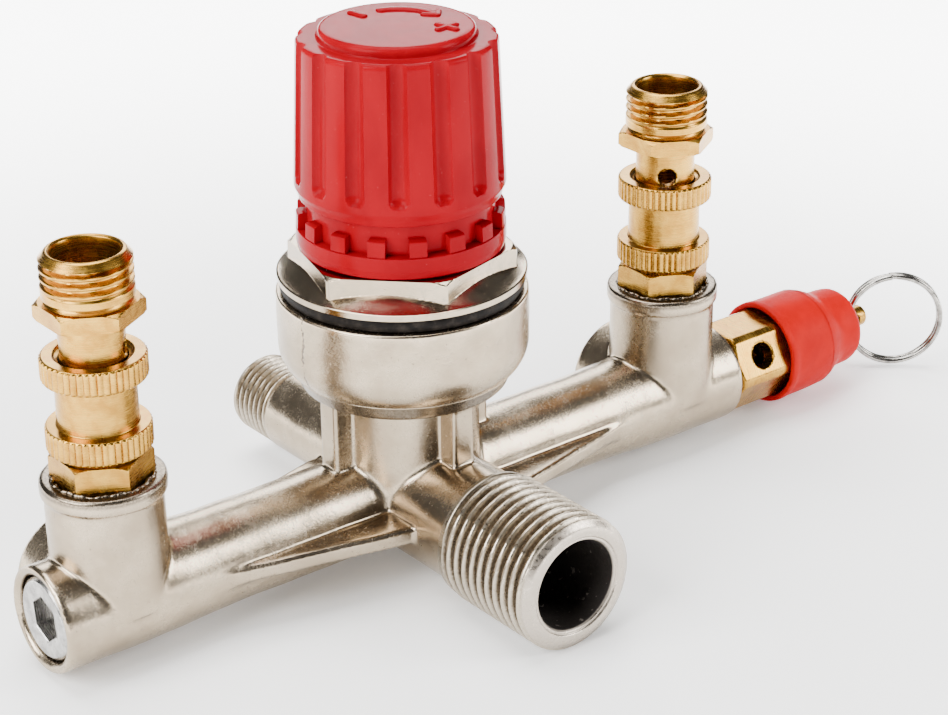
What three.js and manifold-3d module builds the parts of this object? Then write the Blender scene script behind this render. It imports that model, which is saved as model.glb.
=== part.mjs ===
// Regulator manifold for an air compressor: a cast cross of pipes with a diaphragm regulator in the middle,
// a sleeve shut-off valve on each end of its bar, and a pull-ring safety valve on the bar's right end.
// Lengths are in millimetres. The manifold is drawn about the point where its bar (X), its cross pipe (Y)
// and the regulator (Z) meet. The last lines move that point so that the origin is under the middle.
import * as THREE from 'three';
import { mergeVertices } from 'three/addons/utils/BufferGeometryUtils.js';
import Module from 'manifold-3d';

const wasm = await Module();
wasm.setup();

// Clearances
const GAP = 0.3; // between pieces that are screwed, pressed or stacked together
const SLIDE_GAP = 0.25; // around pieces that slide or turn
const SEAL_GAP = 0.1; // around rubber rings in their grooves

// Pipe thread sizes, as the radius over the thread
const THREAD_HALF_INCH = 10.48;
const THREAD_QUARTER = 6.58;
const THREAD_CHAMFER = 1;

// Bar, along X
const BAR_HALF = 65.6;
const ARM_RADIUS = 7.65;
const BAR_END_WALL = 1.62; // of metal round a port's thread
const BAR_END_LENGTH = 17.4;
const ARM_TAPER = 9; // length over which the arm grows to the end's radius
const BAR_BORE = 5.2;
const BAR_PORT_DEPTH = 7.2;

// Cross pipe, along Y
const FRONT_TUBE_RADIUS = 9.3;
const FRONT_SHOULDER = 21.6;
const FRONT_THREAD_LENGTH = 19.7;
const FRONT_BORE = 7.1;
const BACK_RISE = 1.5; // how far the back pipe's axis is above the bar's
const BACK_TUBE_RADIUS = 6.75;
const BACK_SHOULDER = 29.9;
const BACK_THREAD_LENGTH = 10.4;
const BACK_BORE = 4.6;
const PASSAGE_RADIUS = 4;

// Bosses on the bar
const BOSS_INSET = 11.9;
const BOSS_TOP = 19.9;
const BOSS_WALL = 2.02;
const BOSS_COLLAR_WALL = 2.57;
const BOSS_COLLAR_HEIGHT = 2.6;
const BOSS_PORT_DEPTH = 9;
const GAUGE_BOSS_RADIUS = 9.15;
const GAUGE_BOSS_LENGTH = 12;
const GAUGE_BORE = 6;
const GAUGE_PORT_DEPTH = 5.8;
const GAUGE_PASSAGE = 2;

// Neck, ribs and webs of the casting
const NECK_RADIUS = 11.5;
const RIB_REACH = 14.8;
const RIB_THICKNESS = 3.9;
const WEB_THICKNESS = 2.6;
const WEB_REACH = 44;
const WEB_DEPTH = 14.4;
const WEB_ROOT = 5; // depth at the web's tip, inside the bar

// Bowl on top of the neck
const BOWL_UNDERSIDE = 19;
const BOWL_RADIUS = 19.3;
const BOWL_WALL = 2.1;
const BOWL_HEIGHT = 15.3;
const BOWL_CURVE = 7;
const BOWL_FLOOR = 4.2;
const CHAMBER_HEIGHT = 4.4;
const CLAMP_WIDTH = 3.4;
const OUTLET_PORT_RADIUS = 2;
const OUTLET_PORT_PLACE = 8.8;

// Poppet and its seat
const POPPET_CHAMBER_RADIUS = 4.8;
const POPPET_CHAMBER_FLOOR = -5.5;
const SEAT_LEDGE = 13.5;
const SEAT_RADIUS = 5.4;
const SEAT_BORE = 2.4;
const POPPET_RADIUS = 3.9;
const POPPET_THICKNESS = 2.2;
const POPPET_TAIL_RADIUS = 1.8;
const POPPET_TAIL_LENGTH = 4;
const POPPET_STEM_RADIUS = 1.2;
const POPPET_SEAL_THICKNESS = 1.1;
const POPPET_WIRE = 0.4;
const POPPET_COILS = 5;
const STROKE = 0.8; // how far the diaphragm pushes the poppet open

// Diaphragm and its plates
const DIAPHRAGM_THICKNESS = 1.6;
const DIAPHRAGM_WAVE = 0.5;
const HUB_FLANGE_RADIUS = 5.5;
const HUB_FLANGE_THICKNESS = 1.4;
const HUB_RADIUS = 2.9;
const PLATE_THICKNESS = 1.4;
const PLATE_EDGE = 2.4;

// Bonnet: spigot in the bowl, flange, hexagon and the neck that carries the knob
const GASKET_THICKNESS = 2.3;
const GASKET_INSET = 0.6;
const FLANGE_EDGE = 0.9;
const FLANGE_SLOPE = 0.42;
const BONNET_HEX_INSET = 4.05;
const BONNET_HEX_HEIGHT = 4.5;
const BONNET_HEX_TURN = -15; // degrees about Z of a corner past -Y
const BONNET_NECK_TOP = 62;
const BONNET_NECK_WALL = 1.5;
const BONNET_ROOF = 2.2;
const KEY_WIDTH = 2;
const KEY_DEPTH = 1.3;

// Knob and lock ring
const KNOB_RADIUS = 16;
const KNOB_TAPER = 1.25;
const KNOB_HEM_INSET = 0.7;
const KNOB_HEM_HEIGHT = 1.9;
const KNOB_BOTTOM = 49.6;
const KNOB_HEIGHT = 24.2;
const KNOB_WALL = 3.1;
const KNOB_SKIRT_WALL = 0.75;
const KNOB_SKIRT_DEPTH = 3;
const KNOB_DISC_INSET = 4.6;
const KNOB_DISC_HEIGHT = 1.55;
const KNOB_ROOF = 2.6;
const KNOB_HUB_RADIUS = 6;
const NECK_PLAY = 0.5;
const FLUTES = 15;
const FLUTE_TURN = -12; // degrees about Z of the first flute past -Y
const FLUTE_RADIUS = 1.3;
const FLUTE_DEPTH = 0.9;
const FLUTE_MARGIN = 2.5;
const LOCK_TRAVEL = 1.5;
const LOCK_RIM_HEIGHT = 3.3;
const LOCK_TOOTH_HEIGHT = 2.6;
const LOCK_RIM_INSET = 0.2;
const LOCK_TEETH = 16;
const LOCK_TOOTH_ANGLE = 11;
const LOCK_TOOTH_TURN = -5.2; // degrees about Z of the first tooth past -Y

// Adjusting screw, nut and spring
const SCREW_RADIUS = 3.9;
const SCREW_BOTTOM = 42;
const SCREW_COLLAR_RADIUS = 6.5;
const SCREW_COLLAR_HEIGHT = 2.2;
const SCREW_HEX = 7;
const SCREW_TOP = 71;
const WASHER_THICKNESS = 1.1;
const WASHER_RADIUS = 8;
const NUT_BOTTOM = 44.6;
const NUT_THICKNESS = 3.8;
const MAIN_WIRE = 1.1;
const MAIN_COILS = 4.5;

// End plug
const PLUG_THREAD_INSET = 0.28;
const PLUG_LENGTH = 6.7;
const PLUG_INSET = 0.4;
const PLUG_SOCKET = 6;
const PLUG_SOCKET_DEPTH = 4.5;

// Sleeve shut-off valves, heights above the boss top
const ADAPTER_HEX_MARGIN = -0.16; // across flats, past the quarter-inch thread's diameter
const ADAPTER_HEX_RISE = 1.6;
const ADAPTER_HEX_HEIGHT = 2.2;
const ADAPTER_BORE = 3.2;
const TUBE_RADIUS = 4.75;
const TUBE_BORE = 3;
const TUBE_SOCKET_DEPTH = 6.6;
const SLEEVE_RISE = 4.6;
const SLEEVE_LENGTH = 14.4;
const SLEEVE_FLANGE_DEPTH = 1.8;
const SLEEVE_FLANGE_HEIGHT = 3.7;
const SLEEVE_WALL = 0.77;
const SLEEVE_TRAVEL = 5.4;
const SEAL_RADIAL = 1.3;
const SEAL_WIDTH = 1.6;
const LOWER_VENT_RISE = 13.4;
const UPPER_VENT_RISE = 20.1;
const VENT_RADIUS = 1.5;
const SEPTUM = 1.8;
const HEAD_HEX_MARGIN = 0.44;
const HEAD_HEX_HEIGHT = 2.5;
const HEAD_RELIEF_HEIGHT = 1;
const HEAD_RELIEF_DEPTH = 1.1;
const HEAD_THREAD_HEIGHT = 6.5;
const HEAD_WALL = 1.83;
const RIGHT_VENT_TURN = -128; // degrees about Z of the cross hole
const LEFT_VENT_TURN = -38;

// Safety valve, lengths along X from the bar's right end
const SAFETY_HEX_MARGIN = 0.84;
const SAFETY_HEX_START = 0.6;
const SAFETY_HEX_LENGTH = 17.6;
const SAFETY_HEX_TURN = 27; // degrees that a flat is raised from facing -Y
const SAFETY_NECK_RADIUS = 5.4;
const SAFETY_NECK_LENGTH = 10.8;
const SAFETY_CHAMBER = 4.4;
const SAFETY_INLET = 2.4;
const SAFETY_SEAT = -1.1;
const SAFETY_VENT_PLACE = 6.3;
const SAFETY_VENT_RADIUS = 2.35;
const SAFETY_LIFT = 1.5;
const HOLDER_RADIUS = 4;
const HOLDER_START = 0.6;
const HOLDER_LENGTH = 5.2;
const SAFETY_SEAL_THICKNESS = 1.1;
const STEM_RADIUS = 1.9;
const STEM_END = 36.9;
const SAFETY_WIRE = 0.5;
const SAFETY_COILS = 6;
const RETAINER_LENGTH = 4;
const CAP_START = 11.3;
const CAP_RADIUS = 8.9;
const CAP_TAPER = 0.25;
const CAP_SHOULDER = 21.4;
const CAP_SHOULDER_LENGTH = 4;
const CAP_END_WALL = 2;
const CAP_END_ROUND = 1.4;
const CAP_NECK_WALL = 1.1;

// Split ring through the stem
const RING_RADIUS = 8.24;
const RING_WIRE = 0.9;
const RING_WIDTH = 1.8;
const RING_HOLE_RADIUS = 1.35;
const RING_HOLE_INSET = 3;
const RING_TURN = -37.5; // degrees about Z that the ring hangs towards the front

// Facets round a full circle
const FINE = 24;
const COARSE = 16;
const SMALL = 10;
const SPRING_STEPS = 8; // steps in one coil
const WIRE_SIDES = 4;

const BAR_END_RADIUS = THREAD_QUARTER + BAR_END_WALL;
const BOSS_RADIUS = THREAD_QUARTER + BOSS_WALL;
const BOSS_COLLAR_RADIUS = THREAD_QUARTER + BOSS_COLLAR_WALL;
const BOSS_PLACE = BAR_HALF - BOSS_INSET;
const FRONT_END = FRONT_SHOULDER + FRONT_THREAD_LENGTH;
const BACK_END = BACK_SHOULDER + BACK_THREAD_LENGTH;
const BOWL_BORE = BOWL_RADIUS - BOWL_WALL;
const BOWL_RIM = BOWL_UNDERSIDE + BOWL_HEIGHT;
const BOWL_FLOOR_TOP = BOWL_UNDERSIDE + BOWL_FLOOR;
const CHAMBER_RADIUS = BOWL_BORE - CLAMP_WIDTH;
const DIAPHRAGM_BOTTOM = BOWL_FLOOR_TOP + CHAMBER_HEIGHT + SEAL_GAP;
const DIAPHRAGM_TOP = DIAPHRAGM_BOTTOM + DIAPHRAGM_THICKNESS;
const PLATE_BOTTOM = DIAPHRAGM_TOP + STROKE + GAP;
const PLATE_TOP = PLATE_BOTTOM + PLATE_THICKNESS;
const HUB_BOTTOM = DIAPHRAGM_BOTTOM - GAP - HUB_FLANGE_THICKNESS;
const FLANGE_BOTTOM = BOWL_RIM + GASKET_THICKNESS + 2 * SEAL_GAP;
const HEX_TOP = FLANGE_BOTTOM + BONNET_HEX_HEIGHT;
const KNOB_TOP_RADIUS = KNOB_RADIUS - KNOB_TAPER;
const KNOB_HEM_RADIUS = KNOB_RADIUS - KNOB_HEM_INSET;
const KNOB_DISC_RADIUS = KNOB_RADIUS - KNOB_DISC_INSET;
const KNOB_BORE = KNOB_RADIUS - KNOB_WALL;
const BONNET_NECK_RADIUS = KNOB_BORE - NECK_PLAY;
const BONNET_NECK_BORE = BONNET_NECK_RADIUS - BONNET_NECK_WALL;
const WASHER_TOP = BONNET_NECK_TOP - BONNET_ROOF - SEAL_GAP;
const COLLAR_TOP = WASHER_TOP - WASHER_THICKNESS - SEAL_GAP;
const PLUG_RADIUS = THREAD_QUARTER - PLUG_THREAD_INSET;
const ADAPTER_HEX = 2 * THREAD_QUARTER + ADAPTER_HEX_MARGIN;
const HEAD_HEX = 2 * THREAD_QUARTER + HEAD_HEX_MARGIN;
const HEAD_BORE = THREAD_QUARTER - HEAD_WALL;
const SAFETY_HEX = 2 * THREAD_QUARTER + SAFETY_HEX_MARGIN;
const SLEEVE_BORE = TUBE_RADIUS + SLIDE_GAP;
const SLEEVE_WAIST_RADIUS = SLEEVE_BORE + SLEEVE_WALL;
const SLEEVE_FLANGE_RADIUS = SLEEVE_WAIST_RADIUS + SLEEVE_FLANGE_DEPTH;

/** Welds a three.js shape into a closed solid with its faces out. */
function solid(shape) {
  const bare = new THREE.BufferGeometry();
  bare.setAttribute('position', shape.getAttribute('position'));
  bare.setIndex(shape.getIndex());
  const welded = mergeVertices(bare, 1e-4);
  const corners = welded.getIndex().array;
  const faces = [];
  for (let i = 0; i < corners.length; i += 3) {
    const [a, b, c] = corners.slice(i, i + 3);
    if (a !== b && b !== c && c !== a) faces.push([a, b, c]);
  }
  const made = (list) => new wasm.Manifold(new wasm.Mesh({
    numProp: 3,
    vertProperties: new Float32Array(welded.getAttribute('position').array),
    triVerts: new Uint32Array(list.flat()),
  }));
  const first = made(faces);
  return first.volume() > 0 ? first : made(faces.map(([a, b, c]) => [a, c, b]));
}

/** Turns a solid back into a three.js shape. */
function shapeOf(body) {
  const mesh = body.getMesh();
  const shape = new THREE.BufferGeometry();
  shape.setAttribute('position', new THREE.BufferAttribute(new Float32Array(mesh.vertProperties), 3));
  shape.setIndex(new THREE.BufferAttribute(new Uint32Array(mesh.triVerts), 1));
  return shape;
}

const join = (...shapes) => shapeOf(shapes.map(solid).reduce((whole, piece) => whole.add(piece)));
const cut = (base, ...tools) => shapeOf(solid(base).subtract(solid(join(...tools))));
const common = (a, b) => shapeOf(solid(a).intersect(solid(b)));

const radians = THREE.MathUtils.degToRad;
const alongX = (shape) => shape.rotateY(Math.PI / 2);
const alongMinusX = (shape) => shape.rotateY(-Math.PI / 2);
const alongY = (shape) => shape.rotateX(-Math.PI / 2);
const alongMinusY = (shape) => shape.rotateX(Math.PI / 2);

/** A profile of [radius, height] points turned about Z; it ends on the axis or closes on itself. */
function revolve(profile, facets = FINE) {
  const points = profile.map(([radius, height]) => new THREE.Vector2(radius, height));
  return new THREE.LatheGeometry(points, facets).rotateX(Math.PI / 2);
}

/** A round bar about Z. */
function rod(radius, from, to, facets = FINE) {
  return revolve([[0, from], [radius, from], [radius, to], [0, to]], facets);
}

/** A ring of rectangular section about Z. */
function ring(inner, outer, from, to, facets = FINE) {
  return revolve([[inner, from], [outer, from], [outer, to], [inner, to], [inner, from]], facets);
}

/** A hexagonal bar about Z, given across its flats; a corner points along -Y. */
const hexagon = (flats, from, to) => rod(flats / Math.sqrt(3), from, to, 6);

/** A hexagon whose corners are cut by cones, as a turned hexagon's are. */
function chamferedHexagon(flats, from, to, low = false) {
  const corner = flats / Math.sqrt(3);
  const drop = (corner - flats / 2) / 2;
  const bottom = low ? [[0, from], [flats / 2, from], [corner, from + drop]] : [[0, from], [corner, from]];
  const cone = revolve([...bottom, [corner, to - drop], [flats / 2, to], [0, to]], 18);
  return common(hexagon(flats, from, to), cone);
}

/** A round bar with a thread's outside radius, and a chamfer where the mating thread starts. */
function threadBlank(radius, from, to, facets = FINE) {
  const land = to - THREAD_CHAMFER;
  return revolve([[0, from], [radius, from], [radius, land], [radius - THREAD_CHAMFER, to], [0, to]], facets);
}

class Coil extends THREE.Curve {
  constructor(radius, from, to, turns) {
    super();
    Object.assign(this, { radius, from, to, turns });
  }

  getPoint(t, target = new THREE.Vector3()) {
    const angle = 2 * Math.PI * this.turns * t;
    const height = this.from + (this.to - this.from) * t;
    return target.set(this.radius * Math.cos(angle), this.radius * Math.sin(angle), height);
  }
}

/** A compression spring about Z that fits between two heights. */
function spring(radius, wire, from, to, turns) {
  const section = new THREE.Shape().absarc(0, 0, wire, 0, 2 * Math.PI);
  const path = new Coil(radius, from + wire, to - wire, turns);
  return new THREE.ExtrudeGeometry(section, {
    steps: Math.round(SPRING_STEPS * turns),
    curveSegments: WIRE_SIDES / 2,
    extrudePath: path,
    bevelEnabled: false,
  });
}

const paint = (color, roughness, metalness) => ({ color, roughness, metalness });
const CASTING = paint(0xcfc4b4, 0.35, 1);
const BRASS = paint(0xd3a45f, 0.28, 1);
const STEEL = paint(0xc4c4c2, 0.3, 1);
const SPRING_STEEL = paint(0x9a9da1, 0.35, 1);
const RUBBER = paint(0x1f1c1a, 0.7, 0);
const RED_PLASTIC = paint(0xd5172b, 0.3, 0);
const RED_VINYL = paint(0xf33a31, 0.5, 0);

/** A named sub-part with its own material. */
function part(name, shape, finish) {
  const mesh = new THREE.Mesh(shape, new THREE.MeshStandardMaterial(finish));
  mesh.name = name;
  return mesh;
}

/** The bar along X, thicker at its ends. */
function barShape() {
  const thick = BAR_HALF - BAR_END_LENGTH;
  const thin = thick - ARM_TAPER;
  return alongX(revolve([
    [0, -BAR_HALF], [BAR_END_RADIUS, -BAR_HALF], [BAR_END_RADIUS, -thick], [ARM_RADIUS, -thin],
    [ARM_RADIUS, thin], [BAR_END_RADIUS, thick], [BAR_END_RADIUS, BAR_HALF], [0, BAR_HALF],
  ]));
}

/** The cross pipe's two threaded ends, the back one a little higher than the front one. */
function crossPipeShapes() {
  const pipe = (tube, shoulder, thread, end) => join(
    rod(tube, 0, shoulder),
    threadBlank(thread, shoulder, end),
  );
  const front = pipe(FRONT_TUBE_RADIUS, FRONT_SHOULDER, THREAD_HALF_INCH, FRONT_END);
  const back = pipe(BACK_TUBE_RADIUS, BACK_SHOULDER, THREAD_QUARTER, BACK_END);
  return [alongMinusY(front), alongY(back).translate(0, 0, BACK_RISE)];
}

/** One flat web in the corner between bar and cross pipe, its outer edge a shallow curve. */
function webShape(sideX, sideY) {
  const outline = new THREE.Shape();
  outline.moveTo(0, 0);
  outline.lineTo(WEB_REACH, 0);
  outline.lineTo(WEB_REACH, WEB_ROOT);
  outline.quadraticCurveTo(WEB_REACH * 0.6, WEB_DEPTH * 0.72, FRONT_TUBE_RADIUS, WEB_DEPTH);
  outline.lineTo(0, WEB_DEPTH);
  const flat = { depth: WEB_THICKNESS, bevelEnabled: false, curveSegments: 8 };
  const web = new THREE.ExtrudeGeometry(outline, flat);
  return web.translate(0, 0, -WEB_THICKNESS / 2).scale(sideX, sideY, 1);
}

/** The neck with its four ribs, and the bowl on it. */
function towerShapes() {
  const low = BOWL_RADIUS - BOWL_CURVE / 2;
  const bowl = revolve([
    [0, BOWL_UNDERSIDE], [low, BOWL_UNDERSIDE],
    [BOWL_RADIUS - 0.22 * BOWL_CURVE, BOWL_UNDERSIDE + 0.37 * BOWL_CURVE],
    [BOWL_RADIUS - 0.05 * BOWL_CURVE, BOWL_UNDERSIDE + 0.8 * BOWL_CURVE],
    [BOWL_RADIUS, BOWL_UNDERSIDE + 1.1 * BOWL_CURVE], [BOWL_RADIUS, BOWL_RIM], [0, BOWL_RIM],
  ]);
  const ribHeight = BOWL_UNDERSIDE + BOWL_FLOOR / 2;
  const rib = (length, width) => new THREE.BoxGeometry(length, width, ribHeight).translate(0, 0, ribHeight / 2);
  return [
    rod(NECK_RADIUS, 0, BOWL_FLOOR_TOP), bowl,
    rib(2 * RIB_REACH, RIB_THICKNESS), rib(RIB_THICKNESS, 2 * RIB_REACH),
  ];
}

/** The upright boss of a shut-off valve and the gauge boss behind it, at the given end of the bar. */
function bossShapes(side) {
  const collar = BOSS_TOP - BOSS_COLLAR_HEIGHT;
  const upright = revolve([
    [0, 0], [BOSS_RADIUS, 0], [BOSS_RADIUS, collar], [BOSS_COLLAR_RADIUS, collar],
    [BOSS_COLLAR_RADIUS, BOSS_TOP], [0, BOSS_TOP],
  ]);
  const gauge = alongY(rod(GAUGE_BOSS_RADIUS, 0, GAUGE_BOSS_LENGTH));
  return [upright, gauge].map((shape) => shape.translate(side * BOSS_PLACE, 0, 0));
}

/** Everything that is drilled out of the ends of the bar. */
function endBores(side) {
  const inner = OUTLET_PORT_PLACE - OUTLET_PORT_RADIUS;
  const bar = join(
    rod(BAR_BORE, inner, BAR_HALF + 1, COARSE),
    rod(THREAD_QUARTER + SLIDE_GAP, BAR_HALF - BAR_PORT_DEPTH, BAR_HALF + 1),
  );
  const upright = join(
    rod(ADAPTER_BORE + GAP, 0, BOSS_TOP, COARSE),
    rod(THREAD_QUARTER + SLIDE_GAP, BOSS_TOP - BOSS_PORT_DEPTH, BOSS_TOP + 1),
  );
  const gauge = join(
    rod(GAUGE_PASSAGE, 0, GAUGE_BOSS_LENGTH, COARSE),
    rod(GAUGE_BORE, GAUGE_BOSS_LENGTH - GAUGE_PORT_DEPTH, GAUGE_BOSS_LENGTH + 1),
  );
  return [
    side > 0 ? alongX(bar) : alongMinusX(bar),
    upright.translate(side * BOSS_PLACE, 0, 0),
    alongY(gauge).translate(side * BOSS_PLACE, 0, 0),
    rod(OUTLET_PORT_RADIUS, 0, BOWL_FLOOR_TOP + 1, COARSE).translate(side * OUTLET_PORT_PLACE, 0, 0),
  ];
}

/** The bores of the cross pipe, the poppet's chamber and the inside of the bowl. */
function middleBores() {
  const passage = (bore, end) => join(
    rod(PASSAGE_RADIUS, 0, end, COARSE),
    rod(bore, OUTLET_PORT_PLACE + OUTLET_PORT_RADIUS, end + 1),
  );
  return [
    alongMinusY(passage(FRONT_BORE, FRONT_END)),
    alongY(passage(BACK_BORE, BACK_END)).translate(0, 0, BACK_RISE),
    rod(POPPET_CHAMBER_RADIUS, POPPET_CHAMBER_FLOOR, SEAT_LEDGE + 1, COARSE),
    rod(SEAT_RADIUS + GAP, SEAT_LEDGE, BOWL_FLOOR_TOP + 1, COARSE),
    rod(CHAMBER_RADIUS, BOWL_FLOOR_TOP, BOWL_RIM + 1),
    rod(BOWL_BORE, BOWL_FLOOR_TOP + CHAMBER_HEIGHT, BOWL_RIM + 1),
  ];
}

/** The one-piece casting that everything is screwed into. */
function manifoldBody() {
  const webs = [-1, 1].flatMap((sideX) => [-1, 1].map((sideY) => webShape(sideX, sideY)));
  const bosses = [...bossShapes(-1), ...bossShapes(1)];
  const blank = join(barShape(), ...crossPipeShapes(), ...towerShapes(), ...webs, ...bosses);
  return cut(blank, ...middleBores(), ...endBores(-1), ...endBores(1));
}

/** The poppet, its seat and its spring, from the bottom up. */
function poppetParts() {
  const seatBottom = SEAT_LEDGE + GAP;
  const sealTop = seatBottom - GAP;
  const sealBottom = sealTop - POPPET_SEAL_THICKNESS;
  const discTop = sealBottom - SEAL_GAP;
  const discBottom = discTop - POPPET_THICKNESS;
  const stemTop = HUB_BOTTOM - GAP;
  const poppet = revolve([
    [0, discBottom - POPPET_TAIL_LENGTH], [POPPET_TAIL_RADIUS, discBottom - POPPET_TAIL_LENGTH],
    [POPPET_TAIL_RADIUS, discBottom], [POPPET_RADIUS, discBottom], [POPPET_RADIUS, discTop],
    [POPPET_STEM_RADIUS, discTop], [POPPET_STEM_RADIUS, stemTop], [0, stemTop],
  ], COARSE);
  const coilRadius = (POPPET_TAIL_RADIUS + POPPET_CHAMBER_RADIUS) / 2;
  const coilBottom = POPPET_CHAMBER_FLOOR + GAP;
  return [
    part('seat_insert', ring(SEAT_BORE, SEAT_RADIUS, seatBottom, BOWL_FLOOR_TOP - GAP, COARSE), BRASS),
    part('poppet', poppet, BRASS),
    part('poppet_seal',
      ring(POPPET_STEM_RADIUS + GAP, POPPET_RADIUS - SEAL_GAP, sealBottom, sealTop, COARSE), RUBBER),
    part('poppet_spring',
      spring(coilRadius, POPPET_WIRE, coilBottom, discBottom - GAP, POPPET_COILS), SPRING_STEEL),
  ];
}

/** The rubber diaphragm with one wave pressed in it, and the hub and plate at its middle. */
function diaphragmParts() {
  const wave = CHAMBER_RADIUS - PLATE_EDGE / 2;
  const waveIn = wave - PLATE_EDGE / 2 + GAP;
  const waveOut = wave + PLATE_EDGE / 2 - GAP;
  const hole = HUB_RADIUS + GAP;
  const edge = BOWL_BORE - GAP;
  const diaphragm = revolve([
    [hole, DIAPHRAGM_BOTTOM], [waveIn, DIAPHRAGM_BOTTOM], [wave, DIAPHRAGM_BOTTOM - DIAPHRAGM_WAVE],
    [waveOut, DIAPHRAGM_BOTTOM], [edge, DIAPHRAGM_BOTTOM], [edge, DIAPHRAGM_TOP], [waveOut, DIAPHRAGM_TOP],
    [wave, DIAPHRAGM_TOP - DIAPHRAGM_WAVE], [waveIn, DIAPHRAGM_TOP], [hole, DIAPHRAGM_TOP],
    [hole, DIAPHRAGM_BOTTOM],
  ]);
  const hub = revolve([
    [0, HUB_BOTTOM], [HUB_FLANGE_RADIUS, HUB_BOTTOM], [HUB_FLANGE_RADIUS, HUB_BOTTOM + HUB_FLANGE_THICKNESS],
    [HUB_RADIUS, HUB_BOTTOM + HUB_FLANGE_THICKNESS], [HUB_RADIUS, PLATE_TOP + 1], [0, PLATE_TOP + 1],
  ], COARSE);
  return [
    part('diaphragm', diaphragm, RUBBER),
    part('diaphragm_hub', hub, BRASS),
    part('diaphragm_plate', ring(hole, CHAMBER_RADIUS - PLATE_EDGE, PLATE_BOTTOM, PLATE_TOP), STEEL),
  ];
}

/** The two key bars in the bonnet's neck that keep the spring nut from turning, wider by a play. */
function keyBars(play) {
  const inner = BONNET_NECK_BORE - KEY_DEPTH - play;
  const length = KEY_DEPTH + play + BONNET_NECK_WALL / 2;
  const height = BONNET_NECK_TOP - HEX_TOP;
  return [-1, 1].map((side) => new THREE.BoxGeometry(length, KEY_WIDTH + 2 * play, height)
    .translate(side * (inner + length / 2), 0, HEX_TOP + height / 2));
}

/** The bonnet that screws into the bowl, clamps the diaphragm and houses the main spring. */
function bonnetShape() {
  const hexFlats = 2 * (BOWL_RADIUS - BONNET_HEX_INSET);
  const flangeRadius = BOWL_RADIUS - GAP;
  const coneHeight = (flangeRadius - BONNET_NECK_RADIUS) * FLANGE_SLOPE;
  const bottom = DIAPHRAGM_TOP + GAP;
  const taperTop = HEX_TOP - BONNET_HEX_HEIGHT / 2;
  const outside = revolve([
    [0, bottom], [BOWL_BORE - GAP, bottom], [BOWL_BORE - GAP, FLANGE_BOTTOM], [flangeRadius, FLANGE_BOTTOM],
    [flangeRadius, FLANGE_BOTTOM + FLANGE_EDGE], [BONNET_NECK_RADIUS, FLANGE_BOTTOM + FLANGE_EDGE + coneHeight],
    [BONNET_NECK_RADIUS, BONNET_NECK_TOP], [0, BONNET_NECK_TOP],
  ]);
  const nut = chamferedHexagon(hexFlats, FLANGE_BOTTOM + FLANGE_EDGE / 2, HEX_TOP);
  nut.rotateZ(radians(BONNET_HEX_TURN));
  const inside = revolve([
    [0, bottom - 1], [CHAMBER_RADIUS, bottom - 1], [CHAMBER_RADIUS, BOWL_RIM], [BONNET_NECK_BORE, taperTop],
    [BONNET_NECK_BORE, BONNET_NECK_TOP - BONNET_ROOF], [0, BONNET_NECK_TOP - BONNET_ROOF],
  ]);
  const hollow = cut(join(outside, nut), inside);
  const bars = keyBars(0).map((bar) => common(bar, rod(BONNET_NECK_RADIUS, HEX_TOP, BONNET_NECK_TOP)));
  return cut(join(hollow, ...bars), rod(SCREW_RADIUS + GAP, SCREW_BOTTOM, BONNET_NECK_TOP + 1, COARSE));
}

/** The screw that the knob turns: its collar bears on the bonnet's roof, its hexagon drives it. */
function screwShape() {
  const collarBottom = COLLAR_TOP - SCREW_COLLAR_HEIGHT;
  const shank = BONNET_NECK_TOP + GAP;
  return join(
    revolve([
      [0, SCREW_BOTTOM], [SCREW_RADIUS, SCREW_BOTTOM], [SCREW_RADIUS, collarBottom],
      [SCREW_COLLAR_RADIUS, collarBottom], [SCREW_COLLAR_RADIUS, COLLAR_TOP], [SCREW_RADIUS, COLLAR_TOP],
      [SCREW_RADIUS, shank], [0, shank],
    ], COARSE),
    hexagon(SCREW_HEX, shank - GAP, SCREW_TOP),
  );
}

/** Bonnet, gasket, main spring and the pieces that set its force. */
function regulatorParts() {
  const nutTop = NUT_BOTTOM + NUT_THICKNESS;
  const nutBlank = ring(SCREW_RADIUS + SLIDE_GAP, BONNET_NECK_BORE - GAP, NUT_BOTTOM, nutTop);
  const coilOuter = BONNET_NECK_BORE - KEY_DEPTH - 2 * GAP;
  const washer = ring(SCREW_RADIUS + GAP, WASHER_RADIUS, COLLAR_TOP + SEAL_GAP, WASHER_TOP, COARSE);
  const gasket = ring(BOWL_BORE, BOWL_RADIUS - GASKET_INSET, BOWL_RIM + SEAL_GAP, FLANGE_BOTTOM - SEAL_GAP);
  return [
    part('bonnet', bonnetShape(), CASTING),
    part('bonnet_gasket', gasket, RUBBER),
    part('main_spring',
      spring(coilOuter - MAIN_WIRE, MAIN_WIRE, PLATE_TOP + GAP, NUT_BOTTOM - GAP, MAIN_COILS), SPRING_STEEL),
    part('spring_nut', cut(nutBlank, ...keyBars(SLIDE_GAP)), BRASS),
    part('adjusting_screw', screwShape(), STEEL),
    part('thrust_washer', washer, STEEL),
  ];
}

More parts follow.
